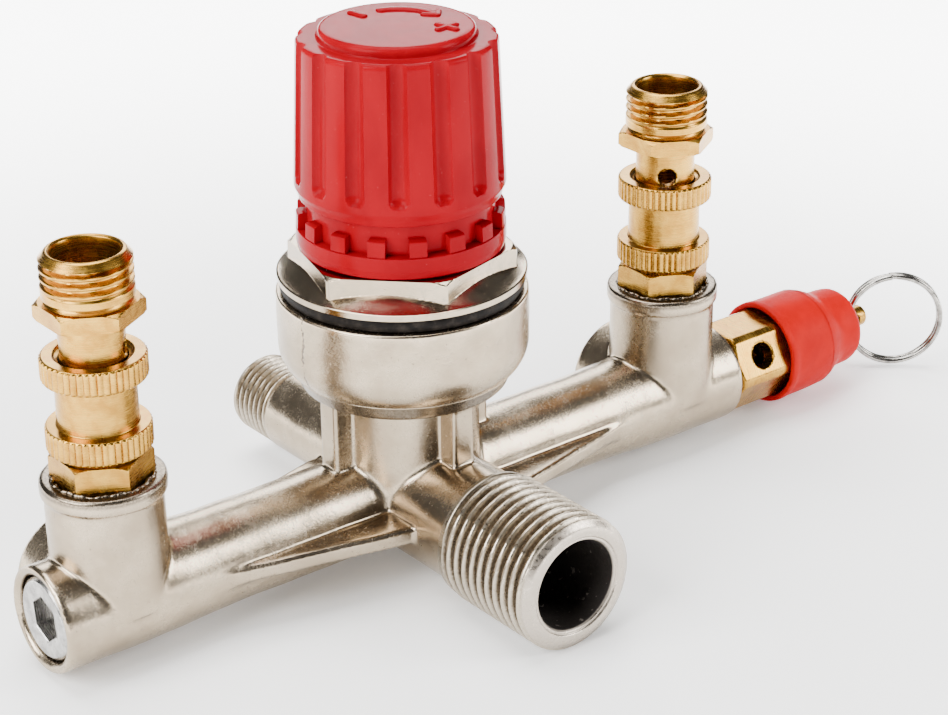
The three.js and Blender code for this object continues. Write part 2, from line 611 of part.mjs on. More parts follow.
/** The toothed ring on the bonnet that the knob locks to. */
function lockRingShape() {
  const bottom = HEX_TOP + GAP;
  const rim = bottom + LOCK_RIM_HEIGHT;
  const band = KNOB_HEM_RADIUS - KNOB_SKIRT_WALL - SLIDE_GAP;
  const bandTop = KNOB_BOTTOM + GAP;
  const outer = KNOB_RADIUS - LOCK_RIM_INSET;
  const inner = BONNET_NECK_RADIUS + GAP;
  const base = revolve([
    [inner, bottom], [outer, bottom], [outer, rim], [band, rim], [band, bandTop], [inner, bandTop],
    [inner, bottom],
  ], 2 * LOCK_TEETH);
  const width = 2 * band * Math.tan(radians(LOCK_TOOTH_ANGLE / 2));
  const height = LOCK_TOOTH_HEIGHT + GAP;
  const depth = outer - band + GAP;
  const place = outer * Math.cos(Math.PI / (2 * LOCK_TEETH)) - depth / 2;
  const teeth = Array.from({ length: LOCK_TEETH }, (_, i) => new THREE.BoxGeometry(width, depth, height)
    .translate(0, -place, rim - GAP + height / 2)
    .rotateZ(radians(LOCK_TOOTH_TURN) + i * 2 * Math.PI / LOCK_TEETH));
  return join(base, ...teeth);
}

/** The fluted knob: a tapered cup with a skirt at the hem, a raised disc on top and a socket hub inside. */
function knobShape() {
  const hem = KNOB_BOTTOM + KNOB_HEM_HEIGHT;
  const top = KNOB_BOTTOM + KNOB_HEIGHT;
  const discTop = top + KNOB_DISC_HEIGHT;
  const ceiling = top - KNOB_ROOF;
  const skirtBore = KNOB_HEM_RADIUS - KNOB_SKIRT_WALL;
  const outside = revolve([
    [0, KNOB_BOTTOM], [KNOB_HEM_RADIUS, KNOB_BOTTOM], [KNOB_RADIUS, hem], [KNOB_TOP_RADIUS, top],
    [KNOB_DISC_RADIUS, top], [KNOB_DISC_RADIUS, discTop], [0, discTop],
  ], 2 * FLUTES);
  const lean = Math.atan2(KNOB_RADIUS - KNOB_TOP_RADIUS, KNOB_HEIGHT - KNOB_HEM_HEIGHT);
  const flutes = Array.from({ length: FLUTES }, (_, i) => rod(FLUTE_RADIUS, hem, top - FLUTE_MARGIN, 8)
    .translate(0, 0, -hem)
    .rotateX(-lean)
    .translate(0, -(KNOB_RADIUS - FLUTE_DEPTH + FLUTE_RADIUS), hem)
    .rotateZ(radians(FLUTE_TURN) + i * 2 * Math.PI / FLUTES));
  const skirtTop = KNOB_BOTTOM + KNOB_SKIRT_DEPTH;
  const hubBottom = BONNET_NECK_TOP + LOCK_TRAVEL + 2 * GAP;
  const inside = revolve([
    [0, KNOB_BOTTOM - 1], [skirtBore, KNOB_BOTTOM - 1], [skirtBore, skirtTop], [KNOB_BORE, skirtTop],
    [KNOB_BORE, hubBottom], [KNOB_TOP_RADIUS - KNOB_WALL, ceiling], [0, ceiling],
  ]);
  const hub = rod(KNOB_HUB_RADIUS, hubBottom, ceiling + GAP, COARSE);
  const socket = hexagon(SCREW_HEX + 2 * SLIDE_GAP, BONNET_NECK_TOP, SCREW_TOP + LOCK_TRAVEL + GAP);
  return cut(join(cut(outside, inside, ...flutes), hub), socket);
}

/** The socket plug in the bar's left end. */
function endPlug() {
  const face = PLUG_LENGTH;
  const blank = revolve([
    [0, 0], [PLUG_RADIUS, 0], [PLUG_RADIUS, face - GAP], [PLUG_RADIUS - GAP, face], [0, face],
  ]);
  const plug = cut(blank, hexagon(PLUG_SOCKET, face - PLUG_SOCKET_DEPTH, face + 1));
  return part('end_plug', alongMinusX(plug).translate(-(BAR_HALF - PLUG_INSET - PLUG_LENGTH), 0, 0), STEEL);
}

/** The screwed-in foot of a shut-off valve, with the socket for its tube. */
function adapterShape() {
  const hexTop = ADAPTER_HEX_RISE + ADAPTER_HEX_HEIGHT;
  const outside = join(
    rod(THREAD_QUARTER - SEAL_GAP, -(BOSS_PORT_DEPTH - 2 * GAP), hexTop - GAP, COARSE),
    chamferedHexagon(ADAPTER_HEX, ADAPTER_HEX_RISE, hexTop, true),
  );
  return cut(
    outside,
    rod(ADAPTER_BORE, -BOSS_PORT_DEPTH, hexTop + 1, COARSE),
    rod(TUBE_RADIUS + GAP, hexTop - TUBE_SOCKET_DEPTH, hexTop + 1, COARSE),
  );
}

/** The valve's tube and outlet head. A wall inside splits it between two cross holes. */
function spoolShape(ventTurn) {
  const foot = ADAPTER_HEX_RISE + ADAPTER_HEX_HEIGHT - TUBE_SOCKET_DEPTH + GAP;
  const hexBottom = SLEEVE_RISE + SLEEVE_LENGTH + SLEEVE_TRAVEL + GAP / 2;
  const hexTop = hexBottom + HEAD_HEX_HEIGHT;
  const relief = hexTop + HEAD_RELIEF_HEIGHT;
  const top = relief + HEAD_THREAD_HEIGHT;
  const wall = (LOWER_VENT_RISE + UPPER_VENT_RISE) / 2;
  const vent = (height) => alongX(rod(VENT_RADIUS, -HEAD_HEX, HEAD_HEX, SMALL))
    .rotateZ(radians(ventTurn))
    .translate(0, 0, height);
  const outside = join(
    rod(TUBE_RADIUS, foot, hexTop, COARSE),
    chamferedHexagon(HEAD_HEX, hexBottom, hexTop),
    rod(THREAD_QUARTER - HEAD_RELIEF_DEPTH, hexTop - GAP, relief + GAP, COARSE),
    threadBlank(THREAD_QUARTER, relief, top, COARSE),
  );
  return cut(
    outside,
    rod(TUBE_BORE, foot - 1, wall - SEPTUM / 2, COARSE),
    rod(TUBE_BORE, wall + SEPTUM / 2, top, COARSE),
    rod(HEAD_BORE, hexTop - GAP, top + 1, COARSE),
    vent(LOWER_VENT_RISE),
    vent(UPPER_VENT_RISE),
  );
}

/** The sleeve, with a groove for a rubber ring inside each flange. */
function sleeveShape() {
  const bore = SLEEVE_BORE;
  const groove = bore + SEAL_RADIAL;
  const top = SLEEVE_RISE + SLEEVE_LENGTH;
  const lowFlange = SLEEVE_RISE + SLEEVE_FLANGE_HEIGHT;
  const highFlange = top - SLEEVE_FLANGE_HEIGHT;
  const outline = revolve([
    [bore, SLEEVE_RISE], [SLEEVE_FLANGE_RADIUS, SLEEVE_RISE], [SLEEVE_FLANGE_RADIUS, lowFlange],
    [SLEEVE_WAIST_RADIUS, lowFlange], [SLEEVE_WAIST_RADIUS, highFlange], [SLEEVE_FLANGE_RADIUS, highFlange],
    [SLEEVE_FLANGE_RADIUS, top], [bore, top], [bore, SLEEVE_RISE],
  ], COARSE);
  const reach = SEAL_WIDTH / 2 + SEAL_GAP;
  return cut(outline, ...sealHeights().map((height) => rod(groove, height - reach, height + reach, COARSE)));
}

/** The heights of the two rubber rings, in the middle of the sleeve's flanges. */
function sealHeights() {
  const half = SLEEVE_FLANGE_HEIGHT / 2;
  return [SLEEVE_RISE + half, SLEEVE_RISE + SLEEVE_LENGTH - half];
}

/** A rubber ring of six-sided section that fills a sleeve's groove. */
function sealShape(height) {
  const inner = TUBE_RADIUS + SEAL_GAP;
  const outer = SLEEVE_BORE + SEAL_RADIAL - SEAL_GAP;
  const middle = (inner + outer) / 2;
  const profile = Array.from({ length: 7 }, (_, i) => {
    const angle = (i + 0.5) * Math.PI / 3;
    return [middle + (outer - inner) / 2 * Math.cos(angle), height + SEAL_WIDTH / 2 * Math.sin(angle)];
  });
  return revolve(profile, COARSE);
}

/** A whole shut-off valve on the boss at one end of the bar. */
function shutOffValve(name, side, ventTurn) {
  const valve = new THREE.Group();
  valve.position.set(side * BOSS_PLACE, 0, BOSS_TOP);
  const [lowSeal, highSeal] = sealHeights();
  valve.add(
    part(`${name}_valve_foot`, adapterShape(), BRASS),
    part(`${name}_valve_tube`, spoolShape(ventTurn), BRASS),
    part(`${name}_sleeve`, sleeveShape(), BRASS),
    part(`${name}_sleeve_lower_seal`, sealShape(lowSeal), RUBBER),
    part(`${name}_sleeve_upper_seal`, sealShape(highSeal), RUBBER),
  );
  return valve;
}

/** The safety valve's brass body, along Z until it is laid along X. */
function safetyBodyShape() {
  const hexEnd = SAFETY_HEX_START + SAFETY_HEX_LENGTH;
  const end = hexEnd + SAFETY_NECK_LENGTH;
  const outside = join(
    rod(THREAD_QUARTER - SEAL_GAP, -(BAR_PORT_DEPTH - GAP), SAFETY_HEX_START + GAP, COARSE),
    chamferedHexagon(SAFETY_HEX, SAFETY_HEX_START, hexEnd, true),
    rod(SAFETY_NECK_RADIUS, hexEnd - GAP, end, COARSE),
  );
  const vent = alongX(rod(SAFETY_VENT_RADIUS, -SAFETY_HEX, SAFETY_HEX, SMALL));
  return cut(
    outside,
    rod(SAFETY_INLET, -BAR_PORT_DEPTH, SAFETY_HEX_START, COARSE),
    rod(SAFETY_CHAMBER, SAFETY_SEAT, end + 1, COARSE),
    vent.translate(0, 0, SAFETY_VENT_PLACE),
  );
}

/** The stem with its seal holder, and the cross hole for the ring. */
function safetyStemShape() {
  const holderEnd = HOLDER_START + HOLDER_LENGTH;
  const stem = revolve([
    [0, HOLDER_START], [HOLDER_RADIUS, HOLDER_START], [HOLDER_RADIUS, holderEnd], [STEM_RADIUS, holderEnd],
    [STEM_RADIUS, STEM_END - GAP], [STEM_RADIUS - GAP, STEM_END], [0, STEM_END],
  ], COARSE);
  const hole = alongX(rod(RING_HOLE_RADIUS, -2 * STEM_RADIUS, 2 * STEM_RADIUS, SMALL));
  return cut(stem, hole.translate(0, 0, STEM_END - RING_HOLE_INSET));
}

/** The soft cap over the hexagon and the neck. */
function safetyCapShape() {
  const hexEnd = SAFETY_HEX_START + SAFETY_HEX_LENGTH;
  const neckEnd = hexEnd + SAFETY_NECK_LENGTH;
  const end = neckEnd + GAP + CAP_END_WALL;
  const neckOuter = SAFETY_NECK_RADIUS + GAP + CAP_NECK_WALL;
  const shoulderEnd = CAP_SHOULDER + CAP_SHOULDER_LENGTH;
  const hexBore = SAFETY_HEX / Math.sqrt(3) + GAP;
  const outside = revolve([
    [0, CAP_START], [CAP_RADIUS, CAP_START], [CAP_RADIUS - CAP_TAPER, CAP_SHOULDER],
    [CAP_RADIUS - 3 * CAP_TAPER, CAP_SHOULDER + CAP_SHOULDER_LENGTH / 2], [neckOuter, shoulderEnd],
    [neckOuter, end - CAP_END_ROUND], [neckOuter - 0.3 * CAP_END_ROUND, end - 0.3 * CAP_END_ROUND],
    [neckOuter - CAP_END_ROUND, end], [0, end],
  ]);
  return cut(
    outside,
    rod(hexBore, CAP_START - 1, hexEnd + GAP),
    rod(SAFETY_NECK_RADIUS + GAP, hexEnd, neckEnd + GAP, COARSE),
    rod(STEM_RADIUS + GAP, neckEnd, end + 1, COARSE),
  );
}

/** The pull ring, standing upright with its near side in the stem's hole. */
function pullRing() {
  const inner = RING_RADIUS - RING_WIRE / 2;
  const outer = RING_RADIUS + RING_WIRE / 2;
  const loop = alongY(ring(inner, outer, -RING_WIDTH / 2, RING_WIDTH / 2));
  const mesh = part('pull_ring', loop.translate(RING_RADIUS, 0, 0), STEEL);
  mesh.position.set(BAR_HALF + STEM_END - RING_HOLE_INSET, 0, 0);
  mesh.rotation.z = radians(RING_TURN);
  return mesh;
}

/** The safety valve without its ring, laid along X with the hexagon turned a little up. */
function safetyValve() {
  const holderEnd = HOLDER_START + HOLDER_LENGTH;
  const neckEnd = SAFETY_HEX_START + SAFETY_HEX_LENGTH + SAFETY_NECK_LENGTH;
  const retainerEnd = neckEnd - 2 * GAP;
  const retainerStart = retainerEnd - RETAINER_LENGTH;
  const coilRadius = (STEM_RADIUS + SAFETY_CHAMBER) / 2;
  const turn = radians(90 - SAFETY_HEX_TURN);
  const retainer = ring(STEM_RADIUS + SLIDE_GAP, SAFETY_CHAMBER - GAP, retainerStart, retainerEnd, COARSE);
  const seal = rod(HOLDER_RADIUS - GAP, SAFETY_SEAT + GAP, HOLDER_START - GAP, COARSE);
  const coil = spring(coilRadius, SAFETY_WIRE, holderEnd + SAFETY_LIFT + GAP, retainerStart - GAP, SAFETY_COILS);
  const valve = new THREE.Group();
  valve.position.x = BAR_HALF;
  valve.add(
    part('safety_body', alongX(safetyBodyShape().rotateZ(turn)), BRASS),
    part('safety_seal', alongX(seal), RUBBER),
    part('safety_stem', alongX(safetyStemShape()), BRASS),
    part('safety_spring', alongX(coil), SPRING_STEEL),
    part('safety_retainer', alongX(retainer), BRASS),
    part('safety_cap', alongX(safetyCapShape()), RED_VINYL),
  );
  return valve;
}

const assembly = new THREE.Group();
assembly.add(
  part('manifold_body', manifoldBody(), CASTING),
  ...poppetParts(),
  ...diaphragmParts(),
  ...regulatorParts(),
  part('lock_ring', lockRingShape(), RED_PLASTIC),
  part('knob', knobShape(), RED_PLASTIC),
  endPlug(),
  shutOffValve('left', -1, LEFT_VENT_TURN),
  shutOffValve('right', 1, RIGHT_VENT_TURN),
  safetyValve(),
  pullRing(),
);

// The origin goes under the middle of the whole assembly, on the level of its lowest point.
assembly.updateMatrixWorld(true);
const box = new THREE.Box3().setFromObject(assembly, true);
const centre = box.getCenter(new THREE.Vector3());
assembly.position.set(-centre.x, -centre.y, -box.min.z);

export default assembly;
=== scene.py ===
# %% [markdown]
# # Regulator manifold
# A small air compressor's manifold: a nickel-plated zinc casting with a diaphragm regulator in the middle,
# a sleeve shut-off valve on each end of its bar, a socket plug on the left and a safety valve on the right.
# Each step below makes one piece or one finish. Lengths are in millimetres about the point where the bar,
# the cross pipe and the regulator meet, because that is the point that the real casting is machined from.

import math

import bpy
import numpy as np
from mathutils import Matrix, Vector


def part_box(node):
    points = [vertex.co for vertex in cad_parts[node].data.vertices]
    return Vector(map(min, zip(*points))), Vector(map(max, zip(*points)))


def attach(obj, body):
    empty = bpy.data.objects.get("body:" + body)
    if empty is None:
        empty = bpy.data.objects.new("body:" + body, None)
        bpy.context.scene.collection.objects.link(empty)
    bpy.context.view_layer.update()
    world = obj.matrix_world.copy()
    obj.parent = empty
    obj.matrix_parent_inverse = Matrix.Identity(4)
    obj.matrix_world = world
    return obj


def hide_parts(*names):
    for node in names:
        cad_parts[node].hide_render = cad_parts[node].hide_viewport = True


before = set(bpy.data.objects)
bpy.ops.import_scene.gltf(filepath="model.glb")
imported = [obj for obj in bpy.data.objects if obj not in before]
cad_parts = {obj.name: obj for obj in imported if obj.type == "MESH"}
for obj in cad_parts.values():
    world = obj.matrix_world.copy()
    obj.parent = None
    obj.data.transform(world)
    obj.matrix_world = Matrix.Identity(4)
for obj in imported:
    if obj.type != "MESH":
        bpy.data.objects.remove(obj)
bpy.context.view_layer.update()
MM = 0.001


def middle(node):
    """The middle of a node's box, in metres."""
    low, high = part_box(node)
    return (np.array(low) + np.array(high)) / 2


ORIGIN = np.array([*middle("bonnet_gasket")[:2], middle("end_plug")[2]])


def span(node):
    """A node's low and high corners, in millimetres about the crossing of the axes."""
    low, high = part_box(node)
    return (np.array(low) - ORIGIN) / MM, (np.array(high) - ORIGIN) / MM


BODY_LOW, BODY_HIGH = span("manifold_body")
BAR_HALF = BODY_HIGH[0]
FRONT_END = -BODY_LOW[1]
BACK_END = BODY_HIGH[1]
BOWL_RIM = BODY_HIGH[2]
BOSS_PLACE = span("right_valve_foot")[0][0] / 2 + span("right_valve_foot")[1][0] / 2
print("bar", round(2 * BAR_HALF, 1), "front", round(FRONT_END, 1), "back", round(BACK_END, 1))

# %% [markdown]
# Most pieces here are turned, cast or moulded, so each is a grid of points: rows along a profile and columns
# round it. A turned piece is made that way on a lathe. Hexagons, flutes, knurls and threads change the radius
# of the same grid, as a cutter does to a turned blank. Rows that shrink to a point become one corner, so the
# ends close without a hole.


# %% Grids of points into closed pieces
def skin(grid, closed=False):
    """Faces over rows and columns of points, joined round the columns and, if closed, round the rows too."""
    rows, columns = grid.shape[:2]
    pole = np.ptp(grid, axis=1).max(axis=1) < 1e-6
    count = np.where(pole, 1, columns)
    first = np.concatenate([[0], np.cumsum(count)[:-1]])
    index = first[:, None] + np.where(pole[:, None], 0, np.arange(columns))
    keep = np.arange(columns)[None, :] < count[:, None]
    upper = np.roll(index, -1, axis=0) if closed else index[1:]
    lower = index if closed else index[:-1]
    a, d = lower.ravel(), upper.ravel()
    b, c = np.roll(lower, -1, axis=1).ravel(), np.roll(upper, -1, axis=1).ravel()
    whole = (a != b) & (c != d)
    faces = np.stack([a, b, c, d], 1)[whole].tolist()
    faces += np.stack([a, b, c], 1)[(c == d) & (a != b)].tolist()
    faces += np.stack([a, c, d], 1)[(a == b) & (c != d)].tolist()
    return grid[keep], faces


def piece(name, points, faces, sharp=38):
    """A smooth-shaded object from points in millimetres; faces that meet steeply keep a hard edge."""
    mesh = bpy.data.meshes.new(name)
    mesh.from_pydata((ORIGIN + np.asarray(points) * MM).tolist(), [], faces)
    mesh.polygons.foreach_set("use_smooth", np.ones(len(mesh.polygons), bool))
    mesh.set_sharp_from_angle(angle=math.radians(sharp))
    made = bpy.data.objects.new(name, mesh)
    bpy.context.collection.objects.link(made)
    return made


def outline(*corners, step=2.0):
    """A profile through (radius, height, rounding) corners: arcs at the corners, straights cut into steps."""
    points = [(*corner, 0.0)[:3] for corner in corners]
    path = []
    for i, (r, z, rounding) in enumerate(points):
        here = np.array([r, z])
        if rounding and 0 < i < len(points) - 1:
            back = np.array(points[i - 1][:2]) - here
            ahead = np.array(points[i + 1][:2]) - here
            back, ahead = back / np.hypot(*back), ahead / np.hypot(*ahead)
            start, end = here + back * rounding, here + ahead * rounding
            turn = np.linspace(0, 1, 6)[:, None]
            path.append((1 - turn) ** 2 * start + 2 * turn * (1 - turn) * here + turn**2 * end)
        else:
            path.append(here[None])
    path = np.concatenate(path)
    parts = [path[:1]]
    for start, end in zip(path[:-1], path[1:]):
        cuts = max(1, math.ceil(np.hypot(*(end - start)) / step))
        parts.append(start + (end - start) * np.linspace(0, 1, cuts + 1)[1:, None])
    return np.concatenate(parts)


def straight(r, heights):
    """A straight stretch of a profile: one radius at many heights."""
    return np.stack([np.full(len(heights), r), heights], 1)


def around(count, first=0.0):
    """Angles round a full turn, starting at the first."""
    return first + np.arange(count) * 2 * np.pi / count


def spun(profile, angles, carve=None):
    """The grid of a profile turned about Z; carve(r, z, angle) gives the radius that a cutter leaves."""
    r = profile[:, 0, None] + 0 * angles
    z = profile[:, 1, None] + 0 * angles
    if carve is not None:
        r = carve(r, z, angles + 0 * r)
    return np.stack([r * np.cos(angles), r * np.sin(angles), z], -1)


AXES = {
    "z": ([0, 1, 2], [1, 1, 1]),
    "x": ([2, 1, 0], [1, 1, -1]),
    "-x": ([2, 1, 0], [-1, 1, 1]),
    "y": ([0, 2, 1], [1, 1, -1]),
    "-y": ([0, 2, 1], [1, -1, 1]),
}


def lathe(name, profile, angles, at=(0, 0, 0), axis="z", carve=None, closed=False, sharp=38):
    """A turned piece: its profile spun round an axis that starts at a point."""
    points, faces = skin(spun(profile, angles, carve), closed)
    order, signs = AXES[axis]
    return piece(name, points[:, order] * signs + np.array(at), faces, sharp)


def hex_radius(angle, flats, corner=0.0):
    """Distance from a hexagon's middle to its edge at an angle."""
    return flats / 2 / np.cos((angle - corner) % (np.pi / 3) - np.pi / 6)


def ease(x):
    """Rises smoothly from 0 to 1 as x goes from 0 to 1."""
    x = np.clip(x, 0, 1)
    return x * x * (3 - 2 * x)


def thread_cut(z, angle, pitch, start, end, fade=1.0):
    """Depth of a right-hand thread's rounded groove; it runs out smoothly at both ends."""
    phase = (z / pitch - angle / (2 * np.pi)) % 1
    crest_share, flank_share, depth = 0.14, 0.72, 0.6
    groove = ease((np.abs(2 * phase - 1) - crest_share) / flank_share)
    run = ease((z - start) / fade) * ease((end - z) / fade + 1)
    return depth * pitch * groove * run


print("grid tools ready")

# %% [markdown]
# The casting is one lump with fillets wherever its pipes, ribs and bosses meet. A field of distances suits
# that: each shape gives the distance to its surface, and a soft minimum of two distances makes the fillet.
# The surface is then taken from the field on a fine grid, one corner in every cell that it crosses, and each
# corner is moved along the field's slope until it lies on the surface.


# %% Distance fields
def soft(a, b, radius):
    """The smaller of two distances, with a fillet where they are nearly equal."""
    h = np.clip(0.5 + 0.5 * (b - a) / radius, 0, 1)
    return b + (a - b) * h - radius * h * (1 - h)


def bevel(a, b, radius):
    """The larger of two distances, with a rounded edge where they are nearly equal."""
    return -soft(-a, -b, radius)


def rod_field(p, axis, at, radius, low, high, edge=0.4):
    """Distance to a round bar along an axis between two places, its ends rounded."""
    others = [i for i in range(3) if i != axis]
    side = np.hypot(p[..., others[0]] - at[0], p[..., others[1]] - at[1]) - radius
    ends = np.abs(p[..., axis] - (low + high) / 2) - (high - low) / 2
    return bevel(side, ends, edge)


def box_field(p, low, high, edge=0.4):
    """Distance to a box with rounded edges."""
    middle_of, half = (np.array(low) + high) / 2, (np.array(high) - low) / 2
    q = np.abs(p - middle_of.astype(p.dtype)) - (half - edge).astype(p.dtype)
    outside = np.sqrt((np.maximum(q, 0) ** 2).sum(-1))
    return outside + np.minimum(q.max(-1), 0) - edge


def settle(field, points, rounds=2):
    """Moves points along a field's slope onto its surface."""
    step = 0.02
    for _ in range(rounds):
        value = field(points)
        slope = np.stack([
            field(points + aside) - field(points - aside) for aside in np.eye(3) * step
        ], -1) / (2 * step)
        steep = np.maximum((slope**2).sum(-1), 0.3)
        points = points - slope * np.clip(value / steep, -0.3, 0.3)[:, None]
    return points


def surface(field, low, high, cell):
    """The closed surface where a field is zero: one corner per crossed cell, one face per crossed edge."""
    lines = [np.arange(a, b + cell, cell, dtype=np.float32) for a, b in zip(low, high)]
    value = field(np.stack(np.meshgrid(*lines, indexing="ij"), -1))
    inside = value < 0
    shape = np.array(value.shape) - 1
    corner = np.array([[i, j, k] for i in (0, 1) for j in (0, 1) for k in (0, 1)])
    blocks = [tuple(slice(o, o + n) for o, n in zip(c, shape)) for c in corner]
    some = np.any([inside[b] for b in blocks], axis=0)
    every = np.all([inside[b] for b in blocks], axis=0)
    cells = np.argwhere(some & ~every)
    at = [value[tuple((cells + c).T)] for c in corner]
    total, hits = np.zeros((len(cells), 3)), np.zeros(len(cells))
    for i, a in enumerate(corner):
        for j, b in enumerate(corner):
            if j > i and np.abs(a - b).sum() == 1:
                crossed = (at[i] < 0) != (at[j] < 0)
                t = np.where(crossed, at[i] / np.where(crossed, at[i] - at[j], 1), 0)
                total += np.where(crossed[:, None], a + t[:, None] * (b - a), 0)
                hits += crossed
    points = np.array(low) + (cells + total / hits[:, None]) * cell
    number = np.full(shape, -1)
    number[tuple(cells.T)] = np.arange(len(cells))
    faces = []
    for axis in range(3):
        u, v = (axis + 1) % 3, (axis + 2) % 3
        near = [slice(1, -1)] * 3
        far = [slice(1, -1)] * 3
        near[axis], far[axis] = slice(0, -1), slice(1, None)
        first, second = inside[tuple(near)], inside[tuple(far)]
        for crossed, order in ((first & ~second, (0, 1, 2, 3)), (~first & second, (3, 2, 1, 0))):
            ring = []
            for du, dv in ((0, 0), (1, 0), (1, 1), (0, 1)):
                place = np.argwhere(crossed)
                place[:, u] += du
                place[:, v] += dv
                ring.append(number[tuple(place.T)])
            faces.append(np.stack([ring[k] for k in order], 1))
    return settle(field, points), np.concatenate(faces).tolist()


def carved(name, field, low, high, cell, at=(0, 0, 0)):
    """A small piece whose surface is where a field is zero, moved to a place."""
    points, faces = surface(field, low, high, cell)
    return piece(name, points + np.array(at), faces, 50)


print("field tools ready")

# %% [markdown]
# The casting's sizes: a bar that swells slightly towards its ends, a tube to each side, and a ribbed neck
# under the bowl's core. The webs between bar and tubes are thin plates at mid height. Everything that a tool
# cuts afterwards (the gauge ports, the plug's bore, the seats of the brass feet) is taken out of the lump
# with a small edge.

# %% The casting's field
ARM_RADIUS = 7.65
END_RADIUS = 8.2
FRONT_TUBE = 9.3
FRONT_SHOULDER = 21.6
BACK_TUBE = 6.75
BACK_RISE = 1.5
BACK_SHOULDER = 29.9
BOWL_RADIUS = 19.3
BOWL_BOTTOM = 19.0
BOSS_RADIUS = 8.6
BOSS_TOP = 19.9
COLLAR_RADIUS = 9.16
GAUGE_RADIUS = 9.15
GAUGE_REACH = 12.0
RIB_REACH = 14.8
RIB_HALF = 1.95
WEB_HALF = 1.4
WEB_REACH = 46
NECK_RADIUS = 11.5
CORE_RADIUS = 15.7
SEAT_BORE = 7.05
GAUGE_BORE = 6.0
PLUG_BORE = 6.75


def web_edge(x):
    """How far the web reaches from the bar's axis, at a distance along the bar."""
    return 14.6 - 0.235 * np.maximum(x - 8.5, 0) + 0.0012 * np.maximum(x - 26, 0) ** 2


def casting(p):
    """Distance to the casting: shapes joined by fillets, less what the tools cut."""
    x, y, z = p[..., 0], p[..., 1], p[..., 2]
    ax, ay = np.abs(x), np.abs(y)
    q = np.stack([ax - BOSS_PLACE, y, z], -1)
    swell = ARM_RADIUS + (END_RADIUS - ARM_RADIUS) * ease((ax - 34) / 18)
    lump = bevel(np.hypot(y, z) - swell, ax - BAR_HALF, 0.7)
    web = bevel((ay - web_edge(ax)) * 0.97, np.abs(z) - WEB_HALF, 0.95)
    rib_top = BOWL_BOTTOM + 3
    ribs = np.minimum(
        box_field(p, (-RIB_REACH, -RIB_HALF, 0), (RIB_REACH, RIB_HALF, rib_top), 0.5),
        box_field(p, (-RIB_HALF, -RIB_REACH, 0), (RIB_HALF, RIB_REACH, rib_top), 0.5),
    )
    core = np.hypot(x, y) - CORE_RADIUS
    shapes_and_fillets = (
        (rod_field(p, 1, (0, 0), FRONT_TUBE, -FRONT_SHOULDER - 0.2, 0), 0.9),
        (rod_field(p, 1, (0, BACK_RISE), BACK_TUBE, 0, BACK_SHOULDER + 0.2), 0.9),
        (rod_field(p, 2, (0, 0), NECK_RADIUS, 0, 23), 1.1),
        (bevel(web, ax - WEB_REACH, 1.0), 0.6),
        (ribs, 0.5),
        (bevel(core, np.abs(z - 25) - (25 - BOWL_BOTTOM - 0.15), 0.6), 0.9),
        (rod_field(q, 2, (0, 0), BOSS_RADIUS, 0, BOSS_TOP - 0.5), 0.5),
        (rod_field(q, 2, (0, 0), COLLAR_RADIUS, BOSS_TOP - 2.6, BOSS_TOP, 0.7), 0.35),
        (rod_field(q, 1, (0, 0), GAUGE_RADIUS, 0, GAUGE_REACH, 0.8), 0.5),
    )
    for shape, fillet in shapes_and_fillets:
        lump = soft(lump, shape, fillet)
    seat = np.hypot(q[..., 0], q[..., 1]) - SEAT_BORE
    gauge = np.hypot(q[..., 0], z) - GAUGE_BORE
    plug = np.hypot(y, z) - PLUG_BORE
    cuts = (
        rod_field(p, 1, (0, 0), 8.2, -FRONT_END, -12),
        rod_field(p, 1, (0, BACK_RISE), 5.4, 20, BACK_END),
        bevel(seat - 0.7 * np.maximum(z - 19.5, 0), 18.6 - z, 0.15),
        rod_field(q, 1, (0, 0), GAUGE_BORE, 6.2, GAUGE_REACH + 9, 0.3),
        rod_field(q, 1, (0, 0), 2.0, 3, 8, 0.1),
        bevel(gauge - np.maximum(y - 11.2, 0), 10 - y, 0.2),
        bevel(plug, 58.4 - ax, 0.2),
        bevel(plug - 1.1 * np.maximum(ax - BAR_HALF + 0.5, 0), 60 - ax, 0.2),
    )
    tool = cuts[0]
    for cut in cuts[1:]:
        tool = np.minimum(tool, cut)
    return bevel(lump, -tool, 0.25)


print("casting reaches", np.round([BAR_HALF, FRONT_END, BACK_END, BOWL_RIM], 1))

# %% [markdown]
# The lump is now taken from its field. A die casting cools unevenly, so none of its long faces stays quite
# straight: a slow, shallow wobble is added to the heights.

# %% Casting
CELL = 0.45
field_low = (-BAR_HALF - 1.3, -FRONT_SHOULDER - 1.2, -11.3)
field_high = (BAR_HALF + 1.3, BACK_SHOULDER + 1.2, 33.2)
points, faces = surface(casting, field_low, field_high, CELL)
wobble = (
    0.05 * np.sin(points @ [0.31, 0.17, 0.23] + 1.0) * np.sin(points @ [-0.12, 0.37, 0.11])
    + 0.03 * np.sin(points @ [0.7, -0.5, 0.9] + 2.0)
)
points[:, 2] += wobble
body_cast = piece("casting", points, faces, 72)
print("casting", len(points), "corners")

# %% [markdown]
# The bowl is part of the same casting, but it is round, so a profile says it better: a plain wall at the rim,
# a belly that curves in to a crisp crease where the two dies meet, and a short undercut down to the neck.

# %% Bowl
belly = np.linspace(21.7, 26.7, 26)
bowl_profile = np.concatenate([
    outline((11, BOWL_BOTTOM), (15.95, BOWL_BOTTOM, 0.7), (17.0, 21.45, 0.1), (17.35, 21.6, 0.1), step=0.4),
    np.stack([BOWL_RADIUS - 1.95 * ((26.7 - belly) / 5) ** 2.8, belly], 1),
    outline(
        (BOWL_RADIUS, 27), (BOWL_RADIUS, BOWL_RIM, 0.5), (17.35, BOWL_RIM, 0.2), (17.3, 31.5), (11, 31.5),
        step=0.8,
    ),
])


